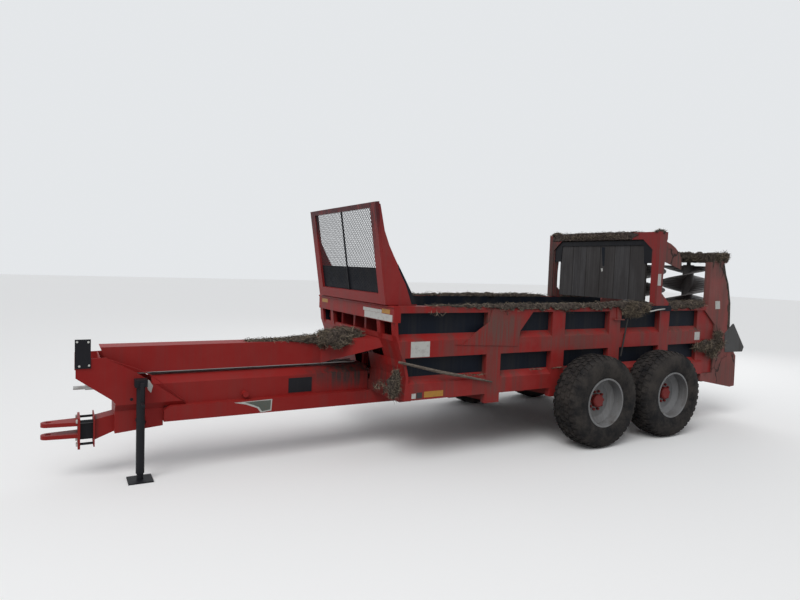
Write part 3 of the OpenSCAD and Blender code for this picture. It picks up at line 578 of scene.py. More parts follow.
bright_steel = make_steel("worn_steel", (0.48, 0.48, 0.47, 1), 0.28, Amount=0.1, Scale=5.0)
rod_steel = make_steel("polished_rod", (0.62, 0.62, 0.62, 1), 0.12, Amount=0.0, Scale=5.0)
beater_steel = painted(
    "beater_steel", (0.09, 0.083, 0.082, 1), (0.19, 0.175, 0.168, 1), (0.04, 0.034, 0.03, 1), streaks=0.5,
    chips=0.0, rough=0.5, Amount=0.30, Top_Rise=0.1, Scale=4.0)
zinc = make_steel("bolt_zinc", (0.55, 0.55, 0.52, 1), 0.35, Amount=0.08, Scale=20.0)


def make_tyre(name):
    """Black rubber, dusted grey-brown where a broad and a fine noise peak together, with mud on top."""
    material, g, shader, where = new_material(name, Specular_IOR_Level=0.15)
    cloudy = g.noise(where, 5.0, 6.0, 0.65)
    grit = g.noise(where, 70.0, 4.0, 0.7)
    dust = g.ramp(g.math("ADD", g.math("MULTIPLY", cloudy, 0.75), g.math("MULTIPLY", grit, 0.25)), 0.36, 0.66)
    color = g.mix(g.math("MULTIPLY", dust, 0.8), (0.011, 0.011, 0.012, 1), (0.062, 0.054, 0.048, 1))
    dirt = placed(g, MUD_GROUP, Position=where, Amount=0.20, Ground_Rise=0.10, Scale=7.0)
    finish_surface(g, shader, where, color, dirt, 0.72, bump=0.5, grain=grit)
    return material


tyre_rubber = make_tyre("muddy_tyre_rubber")

BOARDS, BOARDS_WIDE = 6, 1.63  # the endgate's planks, and how wide they are together


def make_boards(name):
    """Weathered grey planks: soft grain up the board, a tone for each board, and dark edges at the seams."""
    material, g, shader, where = new_material(name, Specular_IOR_Level=0.25)
    grain = g.noise(where, 1.0, 6.0, 0.6, stretch=(40.0, 40.0, 1.2))
    broad = g.noise(where, 1.0, 4.0, 0.6, stretch=(5.0, 5.0, 1.4))
    count = g.math("ADD", g.add("SeparateXYZ", {0: where}).outputs[1], BOARDS_WIDE / 2)
    count = g.math("DIVIDE", count, BOARDS_WIDE / BOARDS)
    tone = g.add("TexWhiteNoise", {"W": g.math("FLOOR", count)}, noise_dimensions="1D").outputs[0]
    color = g.mix(g.ramp(grain, 0.32, 0.72), (0.050, 0.048, 0.050, 1), (0.084, 0.081, 0.083, 1))
    color = g.mix(g.math("MULTIPLY", tone, 0.45), color, (0.048, 0.042, 0.039, 1))
    color = g.mix(g.math("MULTIPLY", g.ramp(broad, 0.40, 0.66), 0.55), color, (0.030, 0.026, 0.025, 1))
    seam = g.math("ABSOLUTE", g.math("SUBTRACT", g.math("FRACT", count), 0.5))
    color = g.mix(g.math("MULTIPLY", g.ramp(seam, 0.46, 0.495), 0.8), color, (0.02, 0.018, 0.016, 1))
    dirt = placed(g, MUD_GROUP, Position=where, Amount=0.02, Scale=4.0)
    finish_surface(g, shader, where, color, dirt, 0.8, bump=0.35, grain=grain)
    return material


grey_boards = make_boards("weathered_boards")


def make_manure(name, dark, pale, fibres, share):
    """Dried manure: dark crumbs with paler fibres where a stretched noise peaks."""
    material, g, shader, where = new_material(name, Specular_IOR_Level=0.2, Roughness=0.95)
    lumps = g.noise(where, 26.0, 7.0, 0.7)
    fibre = g.noise(where, 1.0, 5.0, 0.7, stretch=(160.0, 40.0, 120.0))
    color = g.mix(g.ramp(lumps, 0.35, 0.66), dark, pale)
    color = g.mix(g.math("MULTIPLY", g.ramp(fibre, 0.55, 0.68), share), color, fibres)
    g.tree.links.new(color, shader["Base Color"])
    height = g.math("ADD", g.math("MULTIPLY", lumps, 0.8), g.math("MULTIPLY", fibre, 0.3))
    normal = g.add("Bump", {"Strength": 0.9, "Distance": 0.012, "Height": height}).outputs[0]
    g.tree.links.new(normal, shader["Normal"])
    return material


manure = make_manure(
    "dry_manure", (0.018, 0.014, 0.012, 1), (0.100, 0.079, 0.066, 1), (0.22, 0.185, 0.145, 1), 0.65)
baked_manure = make_manure(
    "baked_manure", (0.030, 0.023, 0.021, 1), (0.115, 0.088, 0.078, 1), (0.16, 0.125, 0.105, 1), 0.5)


def make_straw(name, dark, pale):
    """Straw bits: the tone kept at each bit's points picks its colour between dark and pale."""
    material, g, shader, where = new_material(name, Roughness=0.85)
    tone = g.math("POWER", g.add("Attribute", attribute_name="tone").outputs["Fac"], 2.3)
    color = g.mix(tone, dark, pale)
    color = g.mix(g.math("MULTIPLY", g.noise(where, 40.0, 3.0, 0.6), 0.4), color, (0.05, 0.038, 0.028, 1))
    g.tree.links.new(color, shader["Base Color"])
    return material


straw = make_straw("straw_bits", (0.022, 0.016, 0.012, 1), (0.42, 0.34, 0.24, 1))


def make_plate(name, tone, edge):
    """A faded blank plate with scuffs and grime."""
    material, g, shader, where = new_material(name, Coat_Weight=0.1)
    scuff = g.ramp(g.noise(where, 22.0, 6.0, 0.7), 0.48, 0.7)
    color = g.mix(g.math("MULTIPLY", scuff, 0.55), tone, edge)
    dirt = placed(g, MUD_GROUP, Position=where, Amount=0.16, Scale=14.0)
    finish_surface(g, shader, where, color, dirt, 0.4, bump=0.1)
    return material


white_plate = make_plate("blank_white_plate", (0.50, 0.50, 0.47, 1), (0.28, 0.26, 0.24, 1))
yellow_plate = make_plate("blank_yellow_plate", (0.42, 0.20, 0.02, 1), (0.26, 0.12, 0.035, 1))
dark_plate = make_plate("blank_dark_plate", (0.008, 0.008, 0.010, 1), (0.04, 0.035, 0.032, 1))


def make_primer(name):
    """Grey-green primer where the paint has come off, with rust freckles."""
    material, g, shader, where = new_material(name)
    freckle = g.ramp(g.noise(where, 40.0, 6.0, 0.7), 0.55, 0.68)
    color = g.mix(g.noise(where, 9.0, 4.0, 0.6), (0.060, 0.072, 0.058, 1), (0.11, 0.12, 0.10, 1))
    color = g.mix(g.math("MULTIPLY", freckle, 0.7), color, (0.16, 0.07, 0.04, 1))
    g.tree.links.new(color, shader["Base Color"])
    g.tree.links.new(g.math("ADD", 0.5, g.math("MULTIPLY", freckle, 0.3)), shader["Roughness"])
    return material


primer = make_primer("bare_primer")


def make_branch(name):
    """Grey-brown bark: fibres that run along the stick, and mud."""
    material, g, shader, where = new_material(name)
    fibre = g.noise(where, 1.0, 6.0, 0.65, stretch=(9.0, 160.0, 160.0))
    color = g.mix(g.ramp(fibre, 0.35, 0.68), (0.06, 0.045, 0.035, 1), (0.21, 0.175, 0.14, 1))
    dirt = placed(g, MUD_GROUP, Position=where, Amount=0.3, Scale=8.0)
    finish_surface(g, shader, where, color, dirt, 0.85, bump=0.6, grain=fibre)
    return material


branch_wood = make_branch("old_branch")

# Finishes of the CAD nodes
FINISH = {node: finish for finish, group in [
    (red_front, "hitch_clevis hitch_neck tongue_nose cylinder_beam tongue_arms driveline_tunnel main_rails"),
    (red_wall, "front_frame"),
    (red_side, "side_frame_left side_frame_right"),
    (red_gate, "push_gate_frame"),
    (red_endgate, "endgate_frame"),
    (red_rear, "hood_plates beater_sides beater_top_beam beater_gearbox"),
    (red_under, "cross_members axle_tube walking_beams"),
    (black_paint, "hitch_spacer hose_bracket tunnel_cover parking_jack cylinder_barrel push_gate_screen"),
    (black_paint, "endgate_head"),
    (black_sheet_and_shade, "side_panel_left side_panel_right push_gate_panel"),
    (load_sheet, "floor"),
    (grey_boards, "endgate_boards"),
    (flap_rubber, "rear_flaps"),
    (hose_black, "side_hose"),
    (bright_steel, "hydraulic_lines input_shaft"),
    (rod_steel, "cylinder_stage cylinder_rod"),
    (beater_steel, "beater_left beater_right"),
] for node in group.split()}
WHEEL_FINISH = {"tyre": tyre_rubber, "rim": rim_grey, "hub": hub_red}
for name, piece in nodes.items():
    piece.data.materials.clear()
    piece.data.materials.append(FINISH.get(name) or WHEEL_FINISH[name.split("_")[0]])

# Tyres with tread blocks
TYRE_R, FLOOR_R = 0.562, 0.549  # radius over the blocks, and of the tread's floor between them
BLOCKS, AROUND = 40, 120  # blocks in a row, and points around the carcass
DRAFT, NARROW, SUNK = 0.004, 0.1, 0.02  # a block's top is smaller across and around; its foot is sunk
# Half section from the bead to the middle of the tread: [radius, distance from the tyre's middle]
SECTION = np.array([
    [0.2875, 0.155], [0.302, 0.166], [0.318, 0.176], [0.340, 0.1835], [0.372, 0.1905], [0.408, 0.1945],
    [0.440, 0.1935], [0.470, 0.189], [0.494, 0.1805], [0.512, 0.1735], [0.524, 0.166], [0.533, 0.154],
    [0.540, 0.138], [0.546, 0.100], [FLOOR_R, 0.050], [FLOOR_R, 0.0]])
# Rows of blocks: [low and high edge across the tread, share of the pitch, turn in pitches, radius at both]
ROWS = np.array([
    [-0.172, -0.108, 0.62, 0.0, 0.536, 0.5605], [-0.098, -0.040, 0.70, 0.5, 0.561, TYRE_R],
    [-0.030, 0.030, 0.66, 0.0, TYRE_R, TYRE_R],
    [0.040, 0.098, 0.70, 0.5, TYRE_R, 0.561], [0.108, 0.172, 0.62, 0.0, 0.5605, 0.536]])


def tyre_parts(centre):
    """A half section mirrored and turned about the axle, and rows of sunk-edged blocks on the tread.

    Each block is a box in (angle, across, radius), slanted but for the middle row, and smaller at its top
    than at its foot, which lies under the tread's floor."""
    section = np.concatenate([SECTION, SECTION[-2::-1] * [1, -1]])
    section = np.concatenate([section, section[:1]])  # closes the bore between the beads
    turn = np.linspace(0, 2 * np.pi, AROUND, endpoint=False)
    radius, across = section[:, None, 0], section[:, None, 1] + 0 * turn
    ring = np.stack([radius * np.cos(turn), across, radius * np.sin(turn)], -1) + centre
    carcass = (ring.reshape(-1, 3), grid_faces(len(section), AROUND))
    low, high, share, shift, r_low, r_high = ROWS.T[:, :, None]
    middle = (np.arange(BLOCKS)[None] + shift) * 2 * np.pi / BLOCKS
    half = share * np.pi / BLOCKS
    slant = 0.16 * np.pi / BLOCKS * np.sign(low + high)
    corners = []
    for top in (0, 1):
        for a, b in ((-1, 0), (1, 0), (1, 1), (-1, 1)):
            across = high - DRAFT * top if b else low + DRAFT * top
            angle = middle + a * half * (1 - NARROW * top) + (slant if b else -slant)
            crown = r_high if b else r_low
            radius = crown if top else np.minimum(crown, FLOOR_R) - SUNK
            radius, across, angle = np.broadcast_arrays(radius, across, angle)
            corners.append(np.stack([radius * np.cos(angle), across, radius * np.sin(angle)], -1))
    points = np.stack(corners, 2).reshape(-1, 3) + centre
    faces = np.array([[0, 1, 2, 3], [7, 6, 5, 4], [4, 5, 1, 0], [5, 6, 2, 1], [6, 7, 3, 2], [7, 4, 0, 3]])
    blocks = (points, (faces[None] + 8 * np.arange(len(points) // 8)[:, None, None]).reshape(-1, 4))
    return carcass, blocks


for place in ("front_left", "rear_left", "front_right", "rear_right"):
    low, high = (np.array(corner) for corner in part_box("tyre_" + place))
    carcass, blocks = tyre_parts((low + high) / 2)
    tyre = joined("tread_" + place, [carcass, blocks], "wheel_" + place, tyre_rubber, smooth=True)
    rounded = np.repeat([True, False], [len(carcass[1]), len(blocks[1])])
    tyre.data.polygons.foreach_set("use_smooth", rounded)
    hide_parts("tyre_" + place)

# Mesh of the gate's screen
SCREEN_LOW, SCREEN_HIGH = (np.array(corner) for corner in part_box("push_gate_screen"))
STRAND_PITCH, STRAND_WIDE, STRAND_THICK, STRAND_SLOPE = 0.030, 0.0060, 0.0018, 46
FOOT_IN, TOP_IN = 0.003, 0.001  # how far inside the screen's box the mesh lies, at its foot and at its top
FRAME_THICK = 0.023  # the screen's frame, along X


def lattice_parts():
    """Expanded steel: two families of flat strands, sloped each way on the leaning plane, within its frame.

    A strand is a straight strip from where its line enters the rectangle to where it leaves it."""
    width = SCREEN_HIGH[1] - SCREEN_LOW[1]
    foot = np.array([SCREEN_HIGH[0] - FOOT_IN, SCREEN_LOW[1], SCREEN_LOW[2]])
    lean = np.array([SCREEN_LOW[0] + TOP_IN - foot[0], 0, SCREEN_HIGH[2] - foot[2]])
    tall = np.linalg.norm(lean)
    lean /= tall
    across, out = np.array([0, 1.0, 0]), np.array([lean[2], 0, -lean[0]])
    far_corner = np.array([width, tall])
    parts = []
    for k, slope in enumerate((math.radians(STRAND_SLOPE), math.radians(-STRAND_SLOPE))):
        direction = np.array([math.cos(slope), math.sin(slope)])
        normal = np.array([-math.sin(slope), math.cos(slope)])
        reach = np.array([[0, 0], [width, 0], [0, tall], [width, tall]]) @ normal
        base = np.arange(reach.min() + STRAND_PITCH / 2, reach.max(), STRAND_PITCH)[:, None] * normal
        enter = np.where(direction > 0, -base, far_corner - base) / direction
        leave = np.where(direction > 0, far_corner - base, -base) / direction
        t0, t1 = enter.max(1), leave.min(1)
        keep = t1 - t0 > 0.01
        base, t0, t1 = base[keep], t0[keep], t1[keep]
        ends = np.stack([base + t0[:, None] * direction, base + t1[:, None] * direction], 1)
        corner = np.array([[-1, -1], [1, -1], [1, 1], [-1, 1]]) * [STRAND_WIDE / 2, STRAND_THICK / 2]
        flat = ends[:, :, None] + corner[None, None, :, :1] * normal
        depth = (corner[:, 1] + (k - 0.5) * STRAND_THICK * 0.6)[None, None]
        points = foot + flat[..., :1] * across + flat[..., 1:] * lean + depth[..., None] * out
        faces = np.concatenate([grid_faces(2, 4), [[3, 2, 1, 0], [4, 5, 6, 7]]])
        faces = faces[None] + 8 * np.arange(len(ends))[:, None, None]
        parts.append((points.reshape(-1, 3), faces.reshape(-1, 4)))
    return parts


def leaning_bar(back, front, height, low_side, high_side):
    """A flat piece that leans with the screen: how far ahead of its frame's rear face the two faces lie, its
    height from the screen's foot, and its two sides."""
    foot_x, foot = SCREEN_HIGH[0] + MIDDLE, SCREEN_LOW[2]
    tilt = (SCREEN_LOW[0] - SCREEN_HIGH[0] + FRAME_THICK) / (SCREEN_HIGH[2] - foot)
    top_x, top = foot_x + tilt * height, foot + height
    outline = [[foot_x - back, foot], [foot_x - front, foot], [top_x - front, top], [top_x - back, top]]
    return prism_part(outline, low_side, high_side)


sheet = leaning_bar(0.0012, 0.0030, 0.272, SCREEN_LOW[1], SCREEN_HIGH[1])
bar = leaning_bar(0.005, 0.022, SCREEN_HIGH[2] - SCREEN_LOW[2] - 0.002, -0.007, 0.007)
joined("screen_sheet", sheet, "push_gate", black_sheet_and_shade)
screen = joined("screen_mesh", lattice_parts() + bar, "push_gate", black_paint)
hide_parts("push_gate_screen")


# Manure, straw and mud
def scatter(path, half_width, height, count, seed):
    """Points spread over a pile: evenly along its path, and across it by a cosine."""
    draw = np.random.default_rng(seed)
    path = at(path)
    length = distances(path)
    s = draw.uniform(0, length[-1], count)
    centre = points_at(s, length, path)
    wide, tall = (np.interp(s, length, size) for size in (half_width, height))
    side = np.cross(points_at(s, length, np.gradient(path, axis=0)), [0, 0, 1.0])
    side /= np.linalg.norm(side, axis=1)[:, None]
    turn = draw.uniform(0, np.pi, count)
    upward = tall * np.sin(turn) * draw.uniform(0.7, 1.25, count)
    return centre + (wide * np.cos(turn))[:, None] * side + upward[:, None] * [0, 0, 1.0]


def line_of(stations, sides, heights):
    """A path from the stations, sides and heights of its points; one number stands for all of them."""
    return np.stack(np.broadcast_arrays(stations, sides, heights), 1)


GATE_WAY = 0.925  # the gate's wings pass inside this distance from the middle
RAIL_TOP, BEAM_TOP = 1.700, 2.700  # top of the box's side rails, and of the endgate's beam
RAIL_EDGE = 1.020  # the outer edge over which a rail's pile hangs, from the middle
STRAW_SHORT, STRAW_LONG, STRAW_THICK, NEST_STRAW_THICK = 0.03, 0.11, 0.0022, 0.0026
# First seeds of the random draws: each pile or nest adds its own number
HEAP_SEED, SCATTER_SEED, LENGTH_SEED, STRAW_SEED, NEST_SEED, NEST_STRAW_SEED = 40, 80, 120, 160, 300, 340
BEATER_CRUST_SEED, ENDGATE_CRUST_SEED, CLOD_SEED = 500, 520, 700
# Piles: name, path, half width, height, straws, outer edge in Y or None, depth to which it hangs beyond it
PILES = [
    ("rail_pile_left",
     line_of([0.42, 0.9, 1.5, 2.2, 2.9, 3.25, 3.5, 3.75, 4.03],
             [-0.990, -0.990, -0.995, -0.992, -0.995, -1.0, -1.005, -1.005, -0.995], RAIL_TOP),
     [0.030, 0.042, 0.058, 0.052, 0.060, 0.065, 0.075, 0.075, 0.045],
     [0.010, 0.020, 0.026, 0.028, 0.035, 0.05, 0.06, 0.055, 0.02],
     1500, -RAIL_EDGE, [0.012, 0.03, 0.07, 0.05, 0.07, 0.08, 0.17, 0.18, 0.05]),
    ("rail_pile_left_rear", line_of([4.20, 4.6, 5.13], [-0.99, -0.995, -0.995], RAIL_TOP),
     [0.05, 0.06, 0.06], [0.04, 0.06, 0.07], 500, -RAIL_EDGE, [0.05, 0.05, 0.04]),
    ("rail_pile_right", line_of([0.5, 1.5, 2.6, 3.6, 4.0], 0.985, RAIL_TOP),
     [0.03, 0.045, 0.055, 0.055, 0.04], [0.02, 0.04, 0.05, 0.05, 0.03], 600, RAIL_EDGE,
     [0.02, 0.05, 0.07, 0.09, 0.04]),
    ("rail_pile_right_rear", line_of([4.20, 4.6, 5.13], 0.99, RAIL_TOP),
     [0.05, 0.055, 0.05], [0.04, 0.05, 0.05], 260, RAIL_EDGE, [0.04, 0.05, 0.04]),
    ("deck_pile", line_of([-1.25, -0.8, -0.44], [-0.02, -0.04, -0.06], 1.254),
     [0.045, 0.085, 0.12], [0.012, 0.028, 0.065], 800, -0.128, [0.0, 0.0, 0.06]),
    ("deck_pile_rear", line_of([-0.46, -0.22, 0.0], [-0.10, -0.20, -0.22], [1.250, 1.285, 1.315]),
     [0.20, 0.32, 0.30], [0.09, 0.11, 0.05], 1800, -0.30, [0.08, 0.10, 0.04]),
    ("endgate_pile", line_of(4.12, [0.98, 0.4, -0.3, -0.7], BEAM_TOP + 0.002),
     [0.05, 0.075, 0.065, 0.03], [0.012, 0.022, 0.018, 0.006], 420, None, 0.0),
    ("endgate_clump_far", line_of(4.10, [0.99, 0.93, 0.85], BEAM_TOP),
     [0.05, 0.08, 0.05], [0.025, 0.044, 0.025], 160, None, 0.0),
    ("endgate_clump_near", line_of(4.12, [-0.93, -1.0, -1.04], BEAM_TOP),
     [0.05, 0.08, 0.05], [0.022, 0.035, 0.018], 120, None, 0.0),
    ("rear_debris_left",
     line_of([5.12, 5.30, 5.50, 5.62], [-1.0, -1.015, -1.02, -1.02], [1.12, 1.06, 1.05, 1.10]),
     [0.03, 0.045, 0.05, 0.03], [0.05, 0.12, 0.14, 0.06], 500, -1.03, [0.04, 0.10, 0.08, 0.03]),
]
for number, (name, path, wide, tall, count, edge, depth) in enumerate(PILES):
    heap = heap_part(path, wide, tall, edge, depth, HEAP_SEED + number)
    joined(name, [heap], "chassis", manure, smooth=True)
    centres = scatter(path, wide, tall, count, SCATTER_SEED + number)
    if edge is not None:  # the straws hang as the pile does, by the same noise, and a tenth deeper
        hang = 1.1 * np.interp(centres[:, 0] + MIDDLE, path[:, 0], depth)
        centres = drape(centres, edge, hang, HEAP_SEED + number + 2)
    lengths = np.random.default_rng(LENGTH_SEED + number).uniform(STRAW_SHORT, STRAW_LONG, count)
    points, faces, tones = bits_part(centres, lengths, STRAW_THICK, STRAW_SEED + number)
    if name.startswith("rail_pile"):
        points[:, 1] = np.sign(edge) * np.maximum(np.abs(points[:, 1]), GATE_WAY)
    joined_mixed(name + "_straw", (points, faces), "chassis", straw, tones=tones)


def crust_part(low, high, thick, hang, seed, uneven=0.0):
    """Manure baked on a beam that runs along Y: a line from the front's foot over the top to the rear's foot,
    pushed out by noise and carried along the beam.

    The line has as many points on each of its three faces, and closes through the inside of the beam. Its
    front foot hangs by a ragged depth, given at the four places of HANG_AT. uneven is how far the end on the
    low side wanders along the beam."""
    step, each = 0.014, 9
    y = np.linspace(low[1], high[1], int((high[1] - low[1]) / step))
    corners = np.array([[low[0], low[2]], [low[0], high[2]], [high[0], high[2]], [high[0], low[2] + 0.01]])
    share = np.linspace(0, 1, each)[:, None]
    line = np.concatenate([corners[k] + (corners[k + 1] - corners[k]) * share for k in range(3)])
    push = np.repeat([[-1.0, 0], [0, 1.0], [1.0, 0]], each, axis=0)
    push[each - 1:each + 1] = [-0.7, 0.7]
    push[2 * each - 1:2 * each + 1] = [0.7, 0.7]
    points = np.stack(np.broadcast_arrays(line[:, 0], y[:, None], line[:, 1]), -1)
    near_end = np.clip(1 - (y - low[1]) / 0.25, 0, 1)[:, None]
    points[..., 1] += uneven * near_end * waves(points * [1, 0, 1], 0.10, seed + 5)
    rough = 0.55 + 0.55 * waves(points, 0.30, seed) + 0.35 * waves(points, 0.09, seed + 1)
    profile = np.interp(np.arange(3 * each), [0, 3, 9, 17, 24, 26], [0.5, 0.7, 1.3, 1.3, 0.7, 0.1])
    grow = thick * np.clip(rough, 0.06, 1.6) * profile
    points[..., 0] += grow * push[:, 0]
    points[..., 2] += grow * push[:, 1]
    ragged = np.clip(0.5 + 0.8 * waves(points[:, :1], 0.12, seed + 2), 0, 1.5)
    points[:, :1, 2] -= ragged * np.interp(np.abs(y), HANG_AT, hang)[:, None]
    front_inside = points[:, :1] * [0, 1, 0] + [low[0] + 0.02, 0, low[2] + 0.03]
    rear_inside = points[:, -1:] * [0, 1, 0] + [high[0] - 0.02, 0, low[2] + 0.03]
    ring = np.concatenate([points, rear_inside, front_inside], 1)
    n = ring.shape[1]
    ends = np.stack([np.arange(n)[::-1] - len(y) * n, np.arange(n) - n])
    return [(at(ring.reshape(-1, 3)), grid_faces(len(y), n)), (NO_POINTS, ends)]


def clod_part(middle, half, seed):
    """A lumpy clod: a ball given by two angles, each point moved out or in by noise, closed at both poles."""
    rows, columns = 14, 22
    tilt = np.linspace(0, np.pi, rows)[:, None]
    turn = np.linspace(0, 2 * np.pi, columns, endpoint=False)[None]
    ball = np.stack([np.sin(tilt) * np.cos(turn), np.sin(tilt) * np.sin(turn), np.cos(tilt) + 0 * turn], -1)
    grow = 1 + 0.45 * waves(ball, 1.6, seed) + 0.16 * waves(ball, 0.5, seed + 1)
    grow[[0, -1]] = grow[[0, -1]].mean(1, keepdims=True)
    return (at(middle) + ball * grow[..., None] * half).reshape(-1, 3), grid_faces(rows, columns)[:, ::-1]


HANG_AT = [0, 0.90, 0.95, 1.03]  # distances from the machine's middle; the last two lie beyond the beaters
BEAM_LOW, BEAM_HIGH = (np.array(corner) + [MIDDLE, 0, 0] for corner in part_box("beater_top_beam"))
BEYOND = np.array([0, 0.004, 0])  # the crust reaches past the beam's ends
BEATER_HANG, ENDGATE_HANG = [0.012, 0.012, 0.09, 0.11], [0.008] * 4
crust = crust_part(BEAM_LOW - BEYOND, BEAM_HIGH + BEYOND, 0.050, BEATER_HANG, BEATER_CRUST_SEED)
joined("beater_beam_crust", crust, "chassis", manure, smooth=True)
crust = crust_part([4.045, -0.62, 2.605], [4.205, 0.97, 2.705], 0.016, ENDGATE_HANG, ENDGATE_CRUST_SEED, 0.16)
joined("endgate_beam_crust", crust, "chassis", baked_manure, smooth=True)
CLODS = [  # middle, half sizes
    ([0.04, -0.995, 0.90], [0.065, 0.030, 0.085]), ([0.065, -0.99, 0.98], [0.045, 0.025, 0.06]),
    ([0.05, -0.99, 0.81], [0.055, 0.03, 0.05]), ([5.20, -1.035, 1.12], [0.09, 0.03, 0.07]),
    ([5.36, -1.04, 1.07], [0.11, 0.032, 0.09]), ([5.50, -1.035, 1.18], [0.07, 0.03, 0.07]),
    ([3.66, -1.03, 1.66], [0.17, 0.03, 0.07]), ([4.10, 0.94, 2.700], [0.05, 0.09, 0.042]),
    ([4.12, -0.99, 2.698], [0.05, 0.07, 0.034]),
]
clods = [clod_part(middle, half, CLOD_SEED + 3 * k) for k, (middle, half) in enumerate(CLODS)]
joined("manure_clods", clods, "chassis", manure, smooth=True)

# Nests of straw: name, half sizes, straws at each middle, shortest and longest straw, steepness, middles
NESTS = [
    ("corner_nest", [0.050, 0.030, 0.070], 80, 0.04, 0.15, 1.0,
     [[0.03, -1.0, 0.89], [0.06, -1.0, 0.93], [0.07, -1.005, 0.82], [0.03, -0.99, 0.79], [0.05, -1.0, 0.98]]),
    ("front_nest", [0.02, 0.10, 0.05], 35, 0.03, 0.10, 0.9,
     [[0.06, -0.78, 0.80], [0.06, -0.66, 0.84], [0.07, -0.55, 0.78]]),
    ("rail_mound", [0.12, 0.020, 0.050], 420, 0.03, 0.11, 0.7,
     [[3.50, -1.04, 1.62], [3.66, -1.045, 1.60], [3.84, -1.04, 1.66], [3.60, -1.035, 1.70]]),
    ("rear_nest", [0.12, 0.022, 0.055], 150, 0.04, 0.16, 0.9,
     [[5.02, -1.04, 1.10], [5.14, -1.05, 1.08], [5.26, -1.05, 1.12], [5.40, -1.055, 1.06],
      [5.52, -1.05, 1.14], [5.34, -1.05, 0.98], [5.50, -1.045, 1.27]]),
    ("beam_fringe", [0.012, 0.30, 0.055], 260, 0.03, 0.13, 0.9,
     [[5.275, -0.7, 2.39], [5.275, -0.1, 2.40], [5.275, 0.6, 2.39]]),
    ("beam_corner_near", [0.10, 0.03, 0.07], 260, 0.03, 0.13, 0.9,
     [[5.40, -1.03, 2.40], [5.55, -1.03, 2.42]]),
    ("deck_fringe", [0.08, 0.015, 0.040], 130, 0.03, 0.11, 0.9,
     [[-0.40, -0.15, 1.20], [-0.20, -0.30, 1.22]]),
    ("gusset_bits", [0.12, 0.004, 0.035], 26, 0.02, 0.07, 1.0,
     [[1.45, -1.024, 1.63], [0.52, -1.024, 1.63], [2.45, -1.024, 1.64]]),
    ("sill_bits", [0.16, 0.012, 0.006], 45, 0.015, 0.05, 0.2,
     [[1.05, -1.03, 0.935], [0.90, -1.03, 0.945], [1.95, -1.03, 0.95], [2.3, -1.03, 0.95]]),
    ("endgate_beam_bits", [0.02, 0.45, 0.045], 260, 0.02, 0.08, 0.6,
     [[4.035, 0.45, 2.66], [4.035, -0.15, 2.66]]),
]
for number, (name, half, count, shortest, longest, lay, middles) in enumerate(NESTS):
    draw = np.random.default_rng(NEST_SEED + number)
    spread = draw.normal(size=(len(middles), count, 3))
    spread *= (draw.uniform(0, 1, (len(middles), count)) ** 0.6 / np.linalg.norm(spread, axis=2))[..., None]
    spots = (at(middles)[:, None] + spread * half).reshape(-1, 3)
    lengths = draw.uniform(shortest, longest, len(spots))
    points, faces, tones = bits_part(spots, lengths, NEST_STRAW_THICK, NEST_STRAW_SEED + number, lay=lay)
    joined_mixed(name, (points, faces), "chassis", straw, tones=tones)

# Small things
STICK = smooth_path([[0.06, -1.045, 1.128], [0.30, -1.047, 1.068], [0.60, -1.043, 0.992],
                     [0.95, -1.046, 0.918], [1.29, -1.043, 0.842]], 6)
stick_radius = np.interp(np.linspace(0, 1, len(STICK)), [0, 0.6, 1], [0.013, 0.019, 0.009])
joined_mixed("leaning_stick", tube_part(STICK, stick_radius, 9), "chassis", branch_wood, smooth=True)

# The rubber edge on the rear of the gate's wings: up the plate's rear edge and back down inside it
WING_TRIM = [
    [0.340, 1.716], [0.304, 1.78], [0.268, 1.84], [0.232, 1.90], [0.197, 1.96], [0.161, 2.02], [0.125, 2.08],
    [0.088, 2.14], [0.100, 2.085], [0.130, 2.03], [0.158, 1.98], [0.190, 1.93], [0.214, 1.87], [0.240, 1.80],
    [0.272, 1.716]]
# The dirty rear edge of the beaters' side plates: the edge line, and back along it with a ragged width
EDGE_Z = np.linspace(1.16, 2.31, 90)
CORNER_Z, CORNER_X = [1.146, 1.426, 1.736, 2.026, 2.156, 2.33], [5.79, 5.79, 5.77, 5.69, 5.62, 5.56]
EDGE_X = np.interp(EDGE_Z, CORNER_Z, CORNER_X) - 0.002
EDGE_IN = EDGE_X - 0.052 - 0.030 * np.clip(waves(EDGE_Z[:, None] * [1, 0, 0], 0.25, 91), -0.8, 1)
EDGE_LINE = np.concatenate([np.stack([EDGE_X, EDGE_Z], 1), np.stack([EDGE_IN, EDGE_Z], 1)[::-1]])
